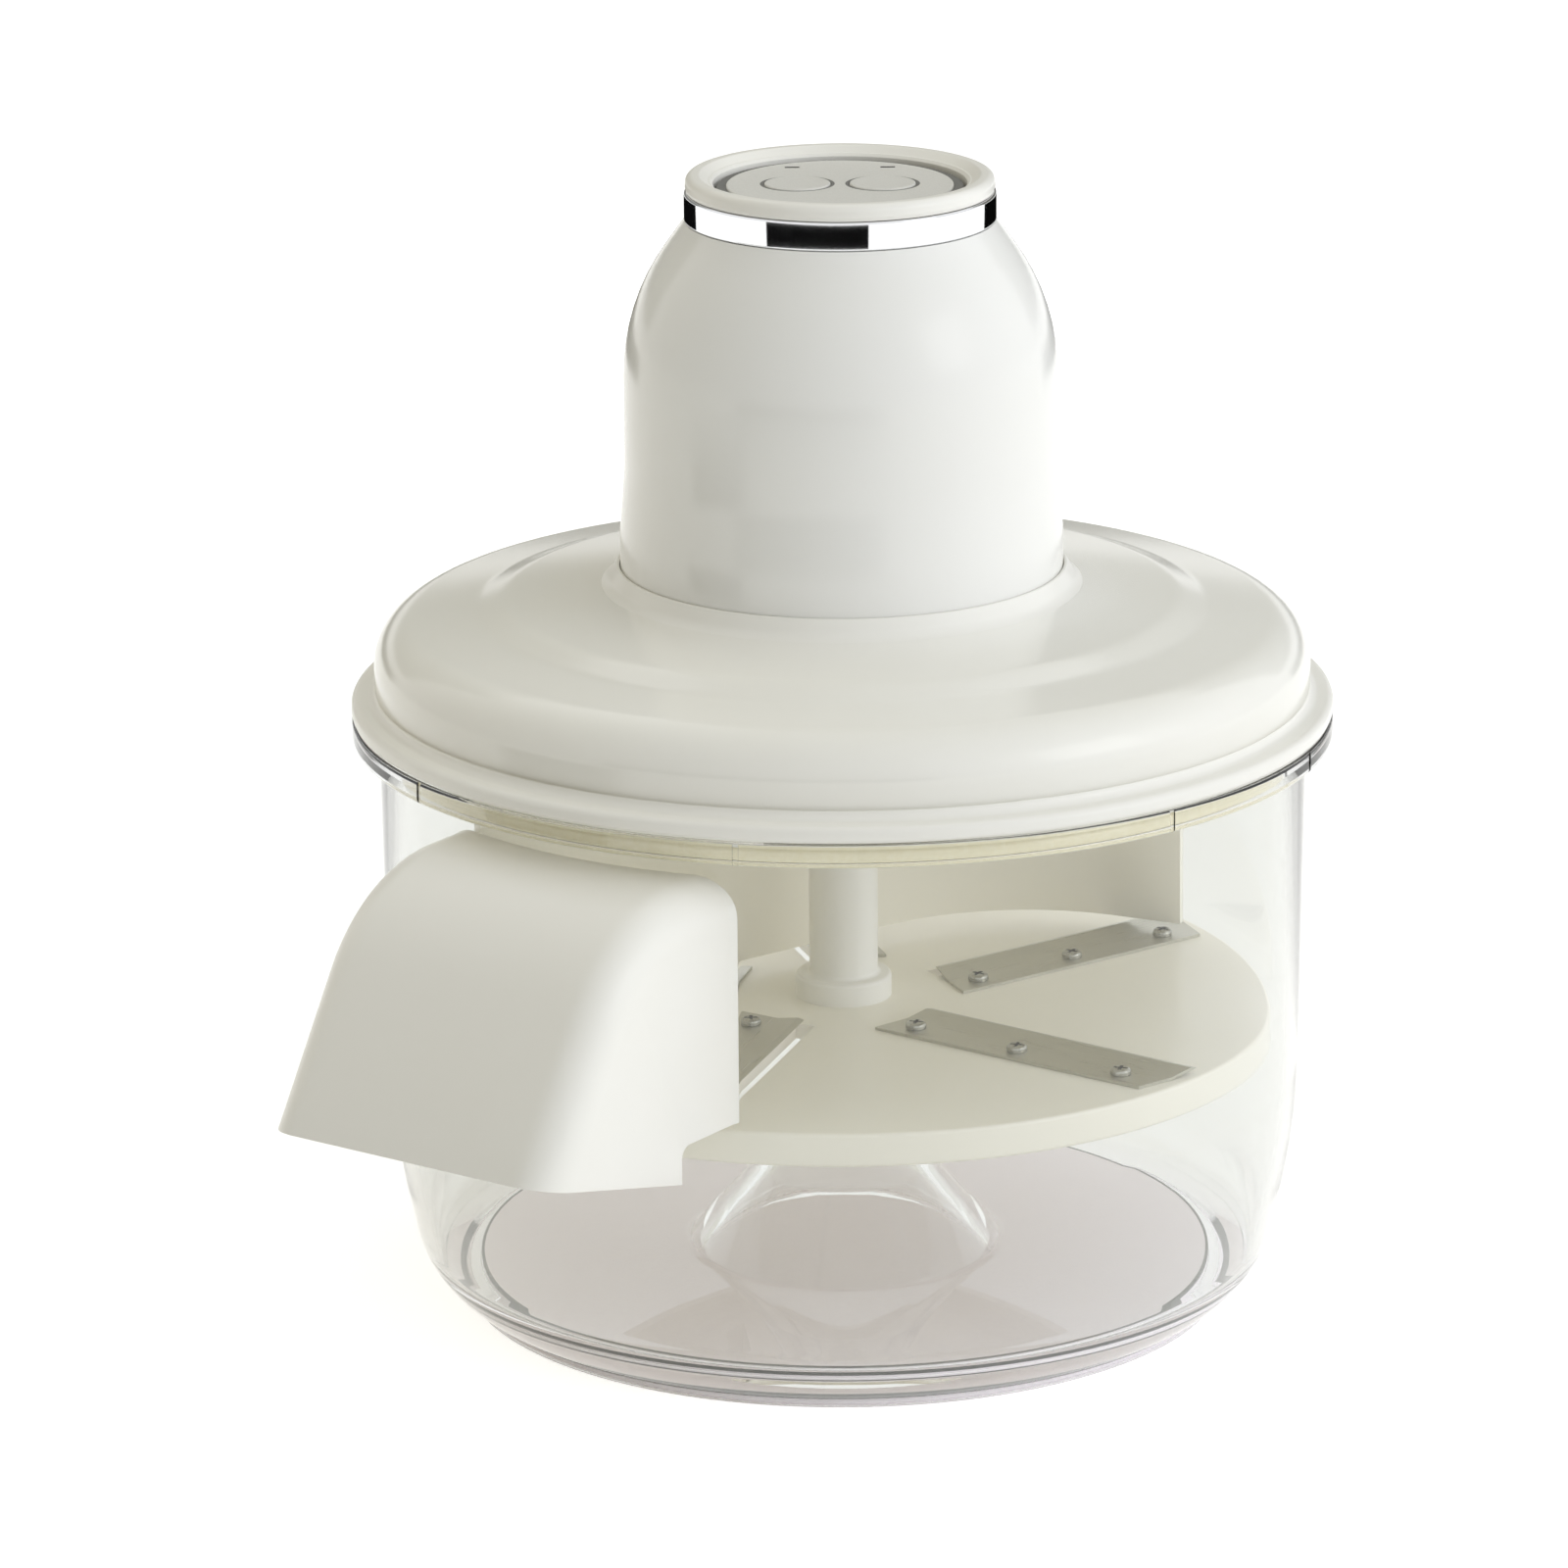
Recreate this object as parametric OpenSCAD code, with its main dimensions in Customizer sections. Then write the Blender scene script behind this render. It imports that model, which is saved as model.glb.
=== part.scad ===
// Cordless electric peeler for garlic and small fruit.
// A clear bowl holds a spinning disc with five raised blades. A curved guide wall above the disc
// steers what is peeled to a hooded chute, and a motor head on the lid turns the disc.
// The bowl axis is Z, the table is z = 0, and the chute leaves towards -Y. Millimetres.

/* [Bowl] */
// Outside diameter of the bowl wall under the rim
bowl_d = 227; // [206:0.5:248]
// Wall thickness of the bowl
bowl_wall = 3.2; // [2.6:0.1:3.6]
// Height of the rim's top above the table
bowl_h = 147.6; // [136:0.2:160]
// How far the wall draws in from the rim down to its bend
wall_draw = 1.3; // [0.6:0.1:2]
// Height where the wall bends
bowl_knee_z = 44; // [36:1:54]
// Radius of that bend
bowl_knee_r = 150; // [100:1:180]
// How far the wall's line draws in from the rim down to the foot
foot_draw = 8.5; // [7:0.1:10]
// Height of the foot, where the wall's line ends, above the floor's underside
foot_up = 1.3; // [0.6:0.1:2.4]
// Radius of the bowl's bottom corner
bowl_corner_r = 24; // [18:0.5:25]
// Thickness of the bowl's floor
floor_t = 3.2; // [2.6:0.1:4]
// Overhang of the rim flange
rim_out = 6.5; // [5:0.1:9]
// Height of the rim flange
rim_h = 5.5; // [4.5:0.1:6.5]
// Angles of the locating notches in the rim
rim_notch_angles = [248, 293, 345, 14]; // [0:1:360]
// Depth and width of a locating notch
rim_notch = [2, 1.2]; // [0.8:0.1:3]
// Thickness of the clear ring round the base pad that the bowl stands on
foot_ring_t = 3.4; // [2.6:0.1:4.4]
// Height of that ring's straight edge
foot_ring_h = 1.8; // [1.2:0.1:3]
// Set-back of the non-slip base pad from the foot
pad_in = 14; // [12:0.1:18]
// Thickness of the base pad
pad_h = 6.9; // [5.4:0.1:8.4]

/* [Pivot] */
// Diameter of the hollow cone where it meets the floor
cone_d = 79.2; // [70:0.5:88]
// Diameter of the cone where it bends towards the post
cone_waist_d = 46.2; // [40:0.2:52]
// Height of that bend above the floor
cone_waist_up = 18.9; // [15:0.1:23]
// Diameter of the post on top of the cone
post_d = 22; // [20:0.5:26]
// Length of the post above the cone
post_len = 17.5; // [13:0.5:20]
// Diameter of the steel pivot pin
pin_d = 6; // [4:0.1:8]
// Depth of the pin in the post
pin_seat = 12; // [8:0.5:14]

/* [Peeling disc] */
// Gap between the disc and the bowl where the wall bends
disc_gap = 3.2; // [1.5:0.1:5]
// Height of the disc's top above the table
disc_top = 73.2; // [69:0.2:77]
// Height of the disc's rim
disc_rim_h = 8.3; // [6:0.1:10]
// Thickness of the disc's plate
disc_plate_t = 3.6; // [3:0.1:5]
// Thickness of the disc's rim wall
disc_rim_t = 3.5; // [2.5:0.1:5]
// Height of the disc's hub
hub_h = 10; // [8:0.5:12]
// Diameter of the disc's hub
hub_d = 26; // [22:0.5:34]
// Number of blades
blade_count = 5; // [5:1:5]
// Angle of the first blade's radial line
blade_start = -1; // [-36:1:36]
// Width of a blade
blade_w = 17.5; // [14:0.5:20]
// Thickness of a blade
blade_t = 0.8; // [0.6:0.1:1.2]
// Width of a blade's flat, screwed-down part
blade_flat_w = 10; // [9:0.5:12]
// How far the cutting edge stands above the disc
blade_rise = 1.5; // [0.8:0.1:2]
// Distance from the axis to the cutting edge's inner end
blade_in = 27.5; // [24:0.5:32]
// Distance from the cutting edge's outer end to the disc's rim
blade_margin = 1.7; // [1:0.1:6]
// How far the screwed-down edge is shifted towards the axis at both ends
blade_skew = 4.5; // [0:0.5:8]
// Set-back of the cutting edge from the radial line
edge_back = 1.3; // [0.5:0.1:3]
// Width of the peel slot in front of and under the cutting edge
slot_w = 4.8; // [3.5:0.1:6]
// Number of screws in a blade
blade_screw_count = 3; // [2:1:4]
// Distance of the screws from the screwed-down edge
blade_screw_in = 5.2; // [4:0.1:6]
// Distance of the end screws from the blade's ends
blade_screw_end = 8.6; // [6:0.1:12]
// Diameter of a blade screw's shank
screw_d = 2.5; // [2:0.1:3]
// Diameter of a blade screw's head
screw_head_d = 5; // [4:0.1:6]
// Height of a blade screw's head
screw_head_h = 1.6; // [1.2:0.1:2.2]
// Diameter of the drive tube
tube_d = 17; // [15:0.2:20]
// Gap between the drive tube's top and the motor head's seat
tube_gap = 11; // [9:0.1:14]
// Diameter of the drive tube's collar
tube_collar_d = 23.8; // [20:0.2:28]
// Height of the drive tube's collar
tube_collar_h = 5.6; // [4:0.1:8]
// Depth of the hexagonal drive socket
socket_depth = 24; // [18:0.5:30]
// Width of the drive dog across its flats
dog_af = 9; // [8:0.1:10]

/* [Chute] */
// Outside width of the chute
chute_w = 83; // [76:0.5:86]
// Wall thickness of the chute
chute_wall = 2.4; // [2:0.1:3]
// Distance from the rim flange down to the chute's top
chute_under = 5.4; // [4:0.1:10]
// Reach of the chute's front lip from the bowl's wall
chute_out = 64.1; // [56:0.1:72]
// Height of the chute's front lip above its floor's underside
lip_up = 3.8; // [0:0.1:8]
// Slope of the chute's front
chute_slope = 58; // [54:1:66]
// Bend radius between the chute's top and front
chute_bend_r = 45; // [36:1:50]
// Radius of the chute's long edges
chute_edge_r = 10; // [6:0.5:12]
// Distance from the bowl's wall to the chute's heel
heel_out = 11.4; // [8:0.1:16]
// Height of the heel
heel_h = 9.1; // [5:0.1:11]

/* [Guide wall] */
// Thickness of the guide wall
guide_t = 2.5; // [2:0.1:3.5]
// Distance from the bowl's rim down to the guide wall's top
guide_drop = 2.4; // [1.5:0.1:8]
// Length of the guide wall's straight tail from the chute
guide_tail = 76; // [70:0.5:80]
// Distance from the lid's skirt back to the guide wall's far end
guide_back = 20.6; // [15:0.1:28]
// Length of the straight end behind the axis
guide_end = 18; // [10:0.5:24]
// Radius of the bend after the tail
guide_r_1 = 80; // [60:1:100]
// Turn of the bend after the tail
guide_turn_1 = 18; // [12:1:24]
// Radius of the bend behind the axis
guide_r_2 = 60; // [50:1:68]
// Turn of the bend behind the axis
guide_turn_2 = 60; // [50:1:66]

/* [Lid] */
// Set-back of the lid's domed side from the rim
lid_in = 5.4; // [4:0.1:7]
// Thickness of the clear cover
cover_t = 2; // [1.6:0.1:2.6]
// Thickness of the ivory liner
liner_t = 2.4; // [2:0.1:3]
// Height of the lid's deck above its foot, where it meets the collar
deck_h = 31.6; // [28:0.1:36]
// Distances from the lid's side in to the two bends of the deck's soft step
deck_step_in = [32.6, 25.6]; // [22:0.1:40]
// Drops from the deck to the two bends of the soft step
deck_step_drop = [2.9, 5.5]; // [1:0.1:7]
// Radius of the two bends
deck_step_r = 14; // [8:0.5:16]
// Drop from the deck to the lid's shoulder
shoulder_drop = 9.3; // [8:0.1:11]
// Radius of the lid's shoulder
shoulder_r = 12; // [8:0.5:14]
// Height of the lid's rounded lip
lip_h = 4.2; // [3.5:0.1:5]
// Thickness of the collar that holds the motor head
collar_t = 1.9; // [1.6:0.1:3]
// Height of the collar above the deck
collar_up = 4.7; // [3.8:0.1:8]
// Depth of the motor head's seat below the deck
seat_drop = 3.3; // [2:0.1:5]
// Radius of the fillet between collar and deck
collar_fillet = 2; // [1.2:0.1:4]
// Depth of the lid's skirt inside the bowl
skirt_h = 8; // [7:0.1:10]
// Thickness of the lid's skirt
skirt_t = 3; // [2.4:0.1:4]
// Height of the lid's gasket
gasket_h = 3; // [2:0.1:3.6]

/* [Motor head] */
// Room between the motor and the housing
motor_room = 6.5; // [5:0.1:9]
// How far the housing draws in above its foot
head_draw = 1.3; // [0.5:0.1:2]
// Heights above the foot where that draw starts and ends
head_draw_z = [16, 32]; // [14:1:40]
// Diameter of the chrome band
band_d = 75.2; // [72:0.2:78]
// Height from the battery cells up to the chrome band
cell_room = 5.1; // [4.6:0.1:9]
// Height of the chrome band
band_h = 7; // [5:0.1:9]
// Thickness of the chrome band
band_t = 1.2; // [0.8:0.1:1.6]
// Radius that joins the housing's side to its crown
crown_r = 54; // [40:1:60]
// Slope of the crown under the band
crown_slope = 54.5; // [50:0.5:60]
// Wall thickness of the housing
head_wall = 2.6; // [2:0.1:3]
// Height of the bezel above the chrome band
bezel_h = 4; // [3.2:0.1:5]
// Width of the bezel
bezel_w = 7; // [6:0.1:8]
// Thickness of the head's bottom plate
base_t = 3; // [2.4:0.1:4]
// Width and height of the charging inlet
inlet_size = [9, 3.3]; // [3:0.1:12]
// Height of the charging inlet above the housing's foot
inlet_up = 13.7; // [12:0.1:15]

/* [Control panel] */
// Angle between the buttons' row and the X axis
panel_turn = 35; // [0:1:90]
// Width of the dark ring round the panel
panel_ring = 3.2; // [2:0.1:4]
// Thickness of the panel
panel_t = 2; // [1.6:0.1:2.4]
// Depth of the panel below the bezel's top
panel_sunk = 2.5; // [1.5:0.1:3]
// Height of the panel's skirt
panel_skirt_h = 2.5; // [2:0.1:3]
// Diameter of a button
button_d = 16; // [14:0.2:17]
// Gap between the two buttons
button_apart = 4.5; // [2.8:0.1:6]
// Travel of a button
button_travel = 0.8; // [0.5:0.1:0.9]
// Size of an indicator window
led_size = [3.4, 1.1]; // [0.8:0.1:5]
// Distance from the panel's middle line to an indicator window
led_x = 11.6; // [8:0.1:14]
// Distance from the panel's edge to an indicator window
led_in = 5.05; // [3:0.05:6]

/* [Drive] */
// Module of the gear teeth
gear_module = 0.8; // [0.7:0.05:0.85]
// Teeth of the output gear
gear_teeth = 60; // [60:4:60]
// Teeth of the motor pinion
pinion_teeth = 12; // [12:4:12]
// Face width of the output gear
gear_h = 6; // [4:0.5:7]
// Diameter of the spindle's journal
spindle_d = 8; // [7:0.1:8.4]
// Diameter of the motor's can
motor_d = 32; // [28:0.5:34]
// Length of the motor's can
motor_len = 47.5; // [40:0.5:52]
// Diameter of a battery cell
cell_d = 18.2; // [17:0.1:18.6]
// Length of a battery cell
cell_len = 64; // [50:0.5:65]
// Place of the first cell
cell_place = [20, 11]; // [9.5:0.5:24]
// Thickness of the plate that carries the motor
plate_t = 2.5; // [2:0.1:3]

/* [Clearances] */
// Gap between flat or curved faces that move past each other
run_gap = 0.3; // [0.2:0.05:0.6]
// Radial clearance of a journal in its bush
journal_fit = 0.05; // [0.02:0.01:0.1]
// Radial clearance between pieces that are pressed or dropped together
seat_fit = 0.1; // [0.02:0.01:0.2]
// Height left between the spinning blades and what hangs above them
sweep_gap = 1; // [0.6:0.1:2]
// Radial clearance of the motor head in its collar
head_gap = 0.6; // [0.4:0.05:1]
// Gap between the lid's cover and its liner
cover_gap = 0.2; // [0.1:0.05:0.4]
// Gap round a button in the panel
button_gap = 0.4; // [0.2:0.05:0.6]
// Gap between the drive dog and its socket
dog_gap = 0.3; // [0.2:0.05:0.5]
// Thinning of each gear tooth for backlash
backlash = 0.12; // [0.05:0.01:0.2]

/* [Hidden] */
$fn = 96;
arc_steps = 8;
past = 1;

// Colours of the moulded and metal pieces
ivory = [0.93, 0.92, 0.86];
white = [0.94, 0.94, 0.92];
clear = [0.86, 0.90, 0.90, 0.35];
pad_grey = [0.80, 0.79, 0.79];
panel_grey = [0.80, 0.80, 0.78];
steel = [0.62, 0.62, 0.60];
chrome = [0.85, 0.86, 0.88];
dark = [0.22, 0.22, 0.21];
bronze = [0.72, 0.53, 0.28];
board_green = [0.12, 0.36, 0.22];
cell_blue = [0.22, 0.38, 0.62];

// Broken edges and small fillets
fine_r = 0.5;
edge_r = 1;
soft_r = 3;

// Bowl and disc
bowl_r = bowl_d / 2;
bowl_in_r = bowl_r - bowl_wall;
knee_r = bowl_r - wall_draw;
foot_r = bowl_r - foot_draw;
rim_r = bowl_r + rim_out;
pad_r = foot_r - pad_in;
ring_in_r = pad_r + seat_fit;
ring_r = ring_in_r + foot_ring_t;
disc_r = knee_r - bowl_wall - disc_gap;
blade_len = disc_r - blade_margin - blade_in;
floor_top = pad_h + floor_t;
rim_under = bowl_h - rim_h;

// Pivot: the post carries the hub's bush, which shares its bore in the disc with the tube's spigot
pin_r = pin_d / 2;
post_r = post_d / 2;
hub_z = disc_top - hub_h;
bush_wall = 3.2;
bush_flange = [3, 2.2];
spigot_h = 3;
hub_bore_r = pin_r + bush_wall;
post_top = hub_z - bush_flange[1] - run_gap;
post_foot_z = post_top - post_len;
cone_waist_z = floor_top + cone_waist_up;
pin_top = disc_top - spigot_h - past;
sweep_z = disc_top + blade_t + max(blade_rise, screw_head_h) + sweep_gap;

// Chute: slope line, floor and heel
chute_half = chute_w / 2;
chute_top = rim_under - chute_under;
chute_reach = bowl_r + chute_out;
chute_lip_z = sweep_z + lip_up;
chute_heel = bowl_r + heel_out;
chute_heel_z = sweep_z - heel_h;
chute_floor = sweep_z + chute_wall;
chute_rear = sqrt(pow(bowl_in_r - past, 2) - pow(chute_half, 2));
chute_low = chute_heel_z - heel_h;
function chute_front(z, inset) =
    chute_reach + (chute_lip_z - z) / tan(chute_slope) - inset / sin(chute_slope);

// Gear train and motor, which set the size of the motor head
gear_r = gear_module * gear_teeth / 2;
motor_x = -gear_module * (gear_teeth + pinion_teeth) / 2;
motor_r = motor_d / 2;
head_in_r = motor_r - motor_x + motor_room;
head_r = head_in_r + head_wall;
side_r = head_r - head_draw;
head_draw_r = 60;
band_r = band_d / 2;

// Lid: collar round the motor head, deck, shoulder and skirt
lid_z = bowl_h + run_gap;
lid_r = rim_r - lid_in;
deck_z = lid_z + deck_h;
shoulder_z = deck_z - shoulder_drop;
collar_in_r = head_r + head_gap;
collar_r = collar_in_r + collar_t;
collar_top = deck_z + collar_up;
seat_z = deck_z - seat_drop;
seat_bore_r = 11;
tube_r = tube_d / 2;
tube_top = seat_z - tube_gap;
dog_r = dog_af / 2 / cos(30);
skirt_r = bowl_in_r - past;
skirt_in_r = skirt_r - skirt_t;
gasket_out_r = bowl_in_r - run_gap;
gasket_depth = 1.2;
gasket_z = lid_z - past - (skirt_h + gasket_h) / 2;
guide_top = bowl_h - guide_drop;

// Motor head: foot, bottom plate, gears and the plate that carries the motor
foot_z = seat_z + run_gap;
base_top = foot_z + base_t;
base_r = head_in_r - seat_fit;
spindle_r = spindle_d / 2;
bush_t = 2.4;
bush_seat_t = 3;
seal_h = 2.2;
lower_bush_h = 9;
gear_clear = [1.8, 4];
gear_z = foot_z + lower_bush_h + gear_clear[0];
plate_z = gear_z + gear_h + gear_clear[1];
plate_top = plate_z + plate_t;
plate_r = head_in_r - 2.2;
upper_bush_h = plate_t + 2.2;
motor_boss = [6, 3];
shaft_r = 1.58;
pinion_h = gear_h + 2 * past;
plate_post_r = 4;
plate_post_at = head_in_r - 2 * plate_post_r - fine_r;
plate_post_angles = [30, 150, 270];
post_pilot = 8;
boss_r = 5;
boss_at = head_in_r - boss_r + 2 * fine_r;
boss_angles = [90, 210, 330];
boss_top = plate_z - gear_clear[1];
base_screw_d = 3;
base_screw_head_d = 5.6;
base_screw_head_h = 1.6;
base_screw_len = 10;
plate_screw_len = 7;

// Crown of the housing, neck, bezel and panel
band_z = plate_top + run_gap + cell_len + cell_room;
crown_corner_z = band_z - (side_r - band_r) * tan(crown_slope);
neck_r = band_r - band_t - seat_fit;
neck_t = 2.4;
band_top = band_z + band_h;
bezel_z = band_top + seat_fit;
bezel_top = bezel_z + bezel_h;
bezel_in_r = band_r - bezel_w;
spigot_r = neck_r - neck_t - seat_fit;
panel_r = bezel_in_r - panel_ring;
panel_top = bezel_top - panel_sunk;
panel_z = panel_top - panel_t;
panel_seat = panel_z - panel_skirt_h;
panel_skirt_t = 2.2;
seat_ring_t = 2;
board_t = 1.6;
board_drop = 3.4;
board_top = panel_seat - seat_ring_t - board_drop;
board_r = spigot_r - fine_r;
board_screw = [2.8, 1.2, 2];
board_screw_r = (bezel_in_r + spigot_r) / 2 - 0.3;
button_r = button_d / 2;
button_pitch = button_d + button_apart;
button_proud = 0.3;
button_flange = [1, 1.2];
button_flange_z = panel_z - button_gap - button_flange[1];
button_plunger_r = 2.5;
button_rest_gap = 0.1;
switch_top = button_flange_z - button_travel - button_flange[1];
led_y = sqrt(pow(panel_r - led_in, 2) - pow(led_x, 2));
inlet_depth = 8.5;

// Points of an arc in place of each corner [x, y, radius]; a corner without a radius stays sharp
function corner_radius(p) = len(p) > 2 ? p[2] : 0;
function flat(p) = [p[0], p[1]];
function arc_points(centre, r, a0, turn) =
    [for (i = [0:arc_steps]) centre + r * [cos(a0 + turn * i / arc_steps), sin(a0 + turn * i / arc_steps)]];
function rounded_corner(p, u, v, r) =
    let (half = acos(max(-1, min(1, u * v))) / 2)
    let (centre = p + (u + v) / norm(u + v) * r / sin(half))
    let (from = p + u * r / tan(half) - centre, to = p + v * r / tan(half) - centre)
    let (a0 = atan2(from[1], from[0]))
    let (sweep = atan2(to[1], to[0]) - a0)
    arc_points(centre, r, a0, sweep > 180 ? sweep - 360 : sweep < -180 ? sweep + 360 : sweep);
function soften(corners) = [
    for (i = [0:len(corners) - 1])
        let (count = len(corners))
        let (p = flat(corners[i]), r = corner_radius(corners[i]))
        let (before = flat(corners[(i + count - 1) % count]) - p, after = flat(corners[(i + 1) % count]) - p)
        each r > 0 ? rounded_corner(p, before / norm(before), after / norm(after), r) : [p]
];
function reversed(list) = [for (i = [len(list) - 1:-1:0]) list[i]];

// A trail of [point, heading] along steps [length, turn to the right]; a step without a turn is straight
function along(heading) = [cos(heading), sin(heading)];
function arc_trail(p, heading, radius, turn) = [
    for (i = [1:arc_steps])
        let (part = turn * i / arc_steps)
        [p + 2 * radius * sin(part / 2) * along(heading - part / 2), heading - part]
];
function last(list) = list[len(list) - 1];

// Spur gear outline: involute flanks on the base circle, thinned for backlash
pressure_angle = 20;
function roll_at(r, base) = r <= base ? 0 : sqrt(pow(r / base, 2) - 1) * 180 / PI;
function flank_angle(roll, half) =
    half + tan(pressure_angle) * 180 / PI - pressure_angle - roll + atan(roll * PI / 180);
function tooth(teeth, tip, root, i) =
    let (pitch_r = gear_module * teeth / 2, base = pitch_r * cos(pressure_angle), steps = 4)
    let (half = 90 / teeth - backlash / pitch_r * 180 / PI, top_roll = roll_at(tip, base))
    let (rolls = [for (k = [0:steps]) top_roll * k / steps], middle = i * 360 / teeth)
    let (radii = [for (roll = rolls) base * sqrt(1 + pow(roll * PI / 180, 2))])
    concat(
        root < base ? [root * along(middle - flank_angle(0, half))] : [],
        [for (k = [0:steps]) radii[k] * along(middle - flank_angle(rolls[k], half))],
        [for (k = [steps:-1:0]) radii[k] * along(middle + flank_angle(rolls[k], half))],
        root < base ? [root * along(middle + flank_angle(0, half))] : []
    );
module spur(teeth, tip, root, h) {
    linear_extrude(h)
        polygon([for (i = [0:teeth - 1]) each tooth(teeth, tip, root, i)]);
}

// A revolved outline of [radius, height] corners
module turned(corners) {
    rotate_extrude()
        polygon(soften(corners));
}

module tube(r, bore, z, h) {
    translate([0, 0, z])
        difference() {
            cylinder(r = r, h = h);
            translate([0, 0, -past])
                cylinder(r = bore, h = h + 2 * past);
        }
}

module rod(r, z, h) {
    translate([0, 0, z])
        cylinder(r = r, h = h);
}

module ring_of(angles, r) {
    for (a = angles)
        rotate([0, 0, a])
            translate([r, 0, 0])
                children();
}

// A side outline of [distance from the axis towards -Y, height], spread evenly about x = 0
module side_plate(width, corners) {
    rotate([90, 0, -90])
        linear_extrude(width, center = true)
            polygon(corners);
}

// A pan-head screw standing on z = 0, with its shank below
module pan_screw(head_d, head_h, shank_d, shank_len) {
    rotate_extrude()
        polygon(soften([
            [0, -shank_len], [shank_d / 2, -shank_len], [shank_d / 2, 0], [head_d / 2, 0],
            [head_d / 2, head_h, head_h * 0.6], [0, head_h]
        ]));
}

// Bowl: one clear moulding with a hollow cone and post in its floor
post_in_r = post_r - bowl_wall;
cone_skin = bowl_wall * 1.3;
pin_seat_r = pin_r + seat_fit / 2;
cone_bends = [14, 8];
bowl_outline = [
    [pin_seat_r, post_top - pin_seat], [post_in_r, post_top - pin_seat],
    [post_in_r, post_foot_z - bowl_wall, cone_bends[1] - 2 * edge_r],
    [cone_waist_d / 2 - cone_skin, cone_waist_z - edge_r, cone_bends[0] - bowl_wall],
    [cone_d / 2 - cone_skin, pad_h], [ring_in_r, pad_h],
    [ring_in_r, 0, fine_r], [ring_r, 0, fine_r], [ring_r, foot_ring_h],
    [foot_r, pad_h + foot_up, bowl_corner_r], [knee_r, bowl_knee_z, bowl_knee_r], [bowl_r, rim_under],
    [rim_r, rim_under, edge_r], [rim_r, bowl_h, edge_r], [bowl_in_r, bowl_h, fine_r],
    [knee_r - bowl_wall, bowl_knee_z, bowl_knee_r],
    [foot_r - bowl_wall, floor_top, bowl_corner_r - bowl_wall],
    [cone_d / 2, floor_top, soft_r], [cone_waist_d / 2, cone_waist_z, cone_bends[0]],
    [post_r, post_foot_z, cone_bends[1]], [post_r, post_top, edge_r], [pin_seat_r, post_top]
];

module chute_mouth_cut() {
    half = chute_half + seat_fit;
    translate([0, -bowl_in_r / 2, 0])
        rotate([90, 0, 0])
            linear_extrude(bowl_in_r)
                polygon(soften([
                    [-half, sweep_z - seat_fit], [half, sweep_z - seat_fit],
                    [half, chute_top + seat_fit, chute_edge_r], [-half, chute_top + seat_fit, chute_edge_r]
                ]));
}

module bowl() {
    color(clear)
        difference() {
            turned(bowl_outline);
            chute_mouth_cut();
            for (a = rim_notch_angles)
                rotate([0, 0, a])
                    translate([rim_r - rim_notch[0], -rim_notch[1] / 2, rim_under - past])
                        cube([2 * rim_notch[0], rim_notch[1], rim_h + 2 * past]);
        }
}

module base_pad() {
    color(pad_grey)
        turned([[0, 0], [pad_r, 0, edge_r], [pad_r, pad_h, edge_r], [0, pad_h]]);
}

module pivot_pin() {
    color(steel)
        turned([
            [0, post_top - pin_seat], [pin_r, post_top - pin_seat],
            [pin_r, pin_top, edge_r], [0, pin_top]
        ]);
}

// Chute: a hood with rounded long edges, open below, with a short floor and a heel
function hood_outline(inset) = soften([
    [chute_rear, chute_low], [chute_front(chute_low, inset), chute_low],
    [chute_front(chute_top - inset, inset), chute_top - inset, chute_bend_r - inset],
    [chute_rear, chute_top - inset]
]);
edge_steps = 6;
module hood(skin) {
    edge = chute_edge_r - skin;
    hull()
        for (i = [0:edge_steps])
            let (turn = 90 * i / edge_steps)
                side_plate(
                    2 * (chute_half - chute_edge_r + edge * sin(turn)),
                    hood_outline(skin + edge * (1 - cos(turn)))
                );
}

module discharge_chute() {
    under = chute_low - heel_h;
    rise = (chute_lip_z - chute_heel_z) / (chute_reach - chute_heel);
    far = chute_reach + chute_bend_r;
    mouth = [
        [chute_rear - past, under], [far, under], [far, chute_lip_z + rise * (far - chute_reach)],
        [chute_heel, chute_heel_z], [chute_heel, sweep_z, soft_r], [chute_rear - past, sweep_z]
    ];
    inside = chute_heel + chute_wall;
    color(ivory)
        difference() {
            hood(0);
            difference() {
                hood(chute_wall);
                side_plate(chute_w, soften([
                    [chute_rear - past, under], [inside, under],
                    [inside, chute_floor, soft_r], [chute_rear - past, chute_floor]
                ]));
            }
            side_plate(chute_w + 2 * past, soften(mouth));
            rod(bowl_in_r - past / 2, chute_low - past, chute_top);
            translate([0, -chute_rear, chute_floor])
                rotate([90, 0, 0])
                    linear_extrude(2 * past)
                        polygon([
                            [-chute_half + chute_wall, 0], [chute_half - chute_wall, 0],
                            [chute_half - chute_edge_r, chute_top - chute_wall - chute_floor],
                            [-chute_half + chute_edge_r, chute_top - chute_wall - chute_floor]
                        ]);
        }
}

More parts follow.
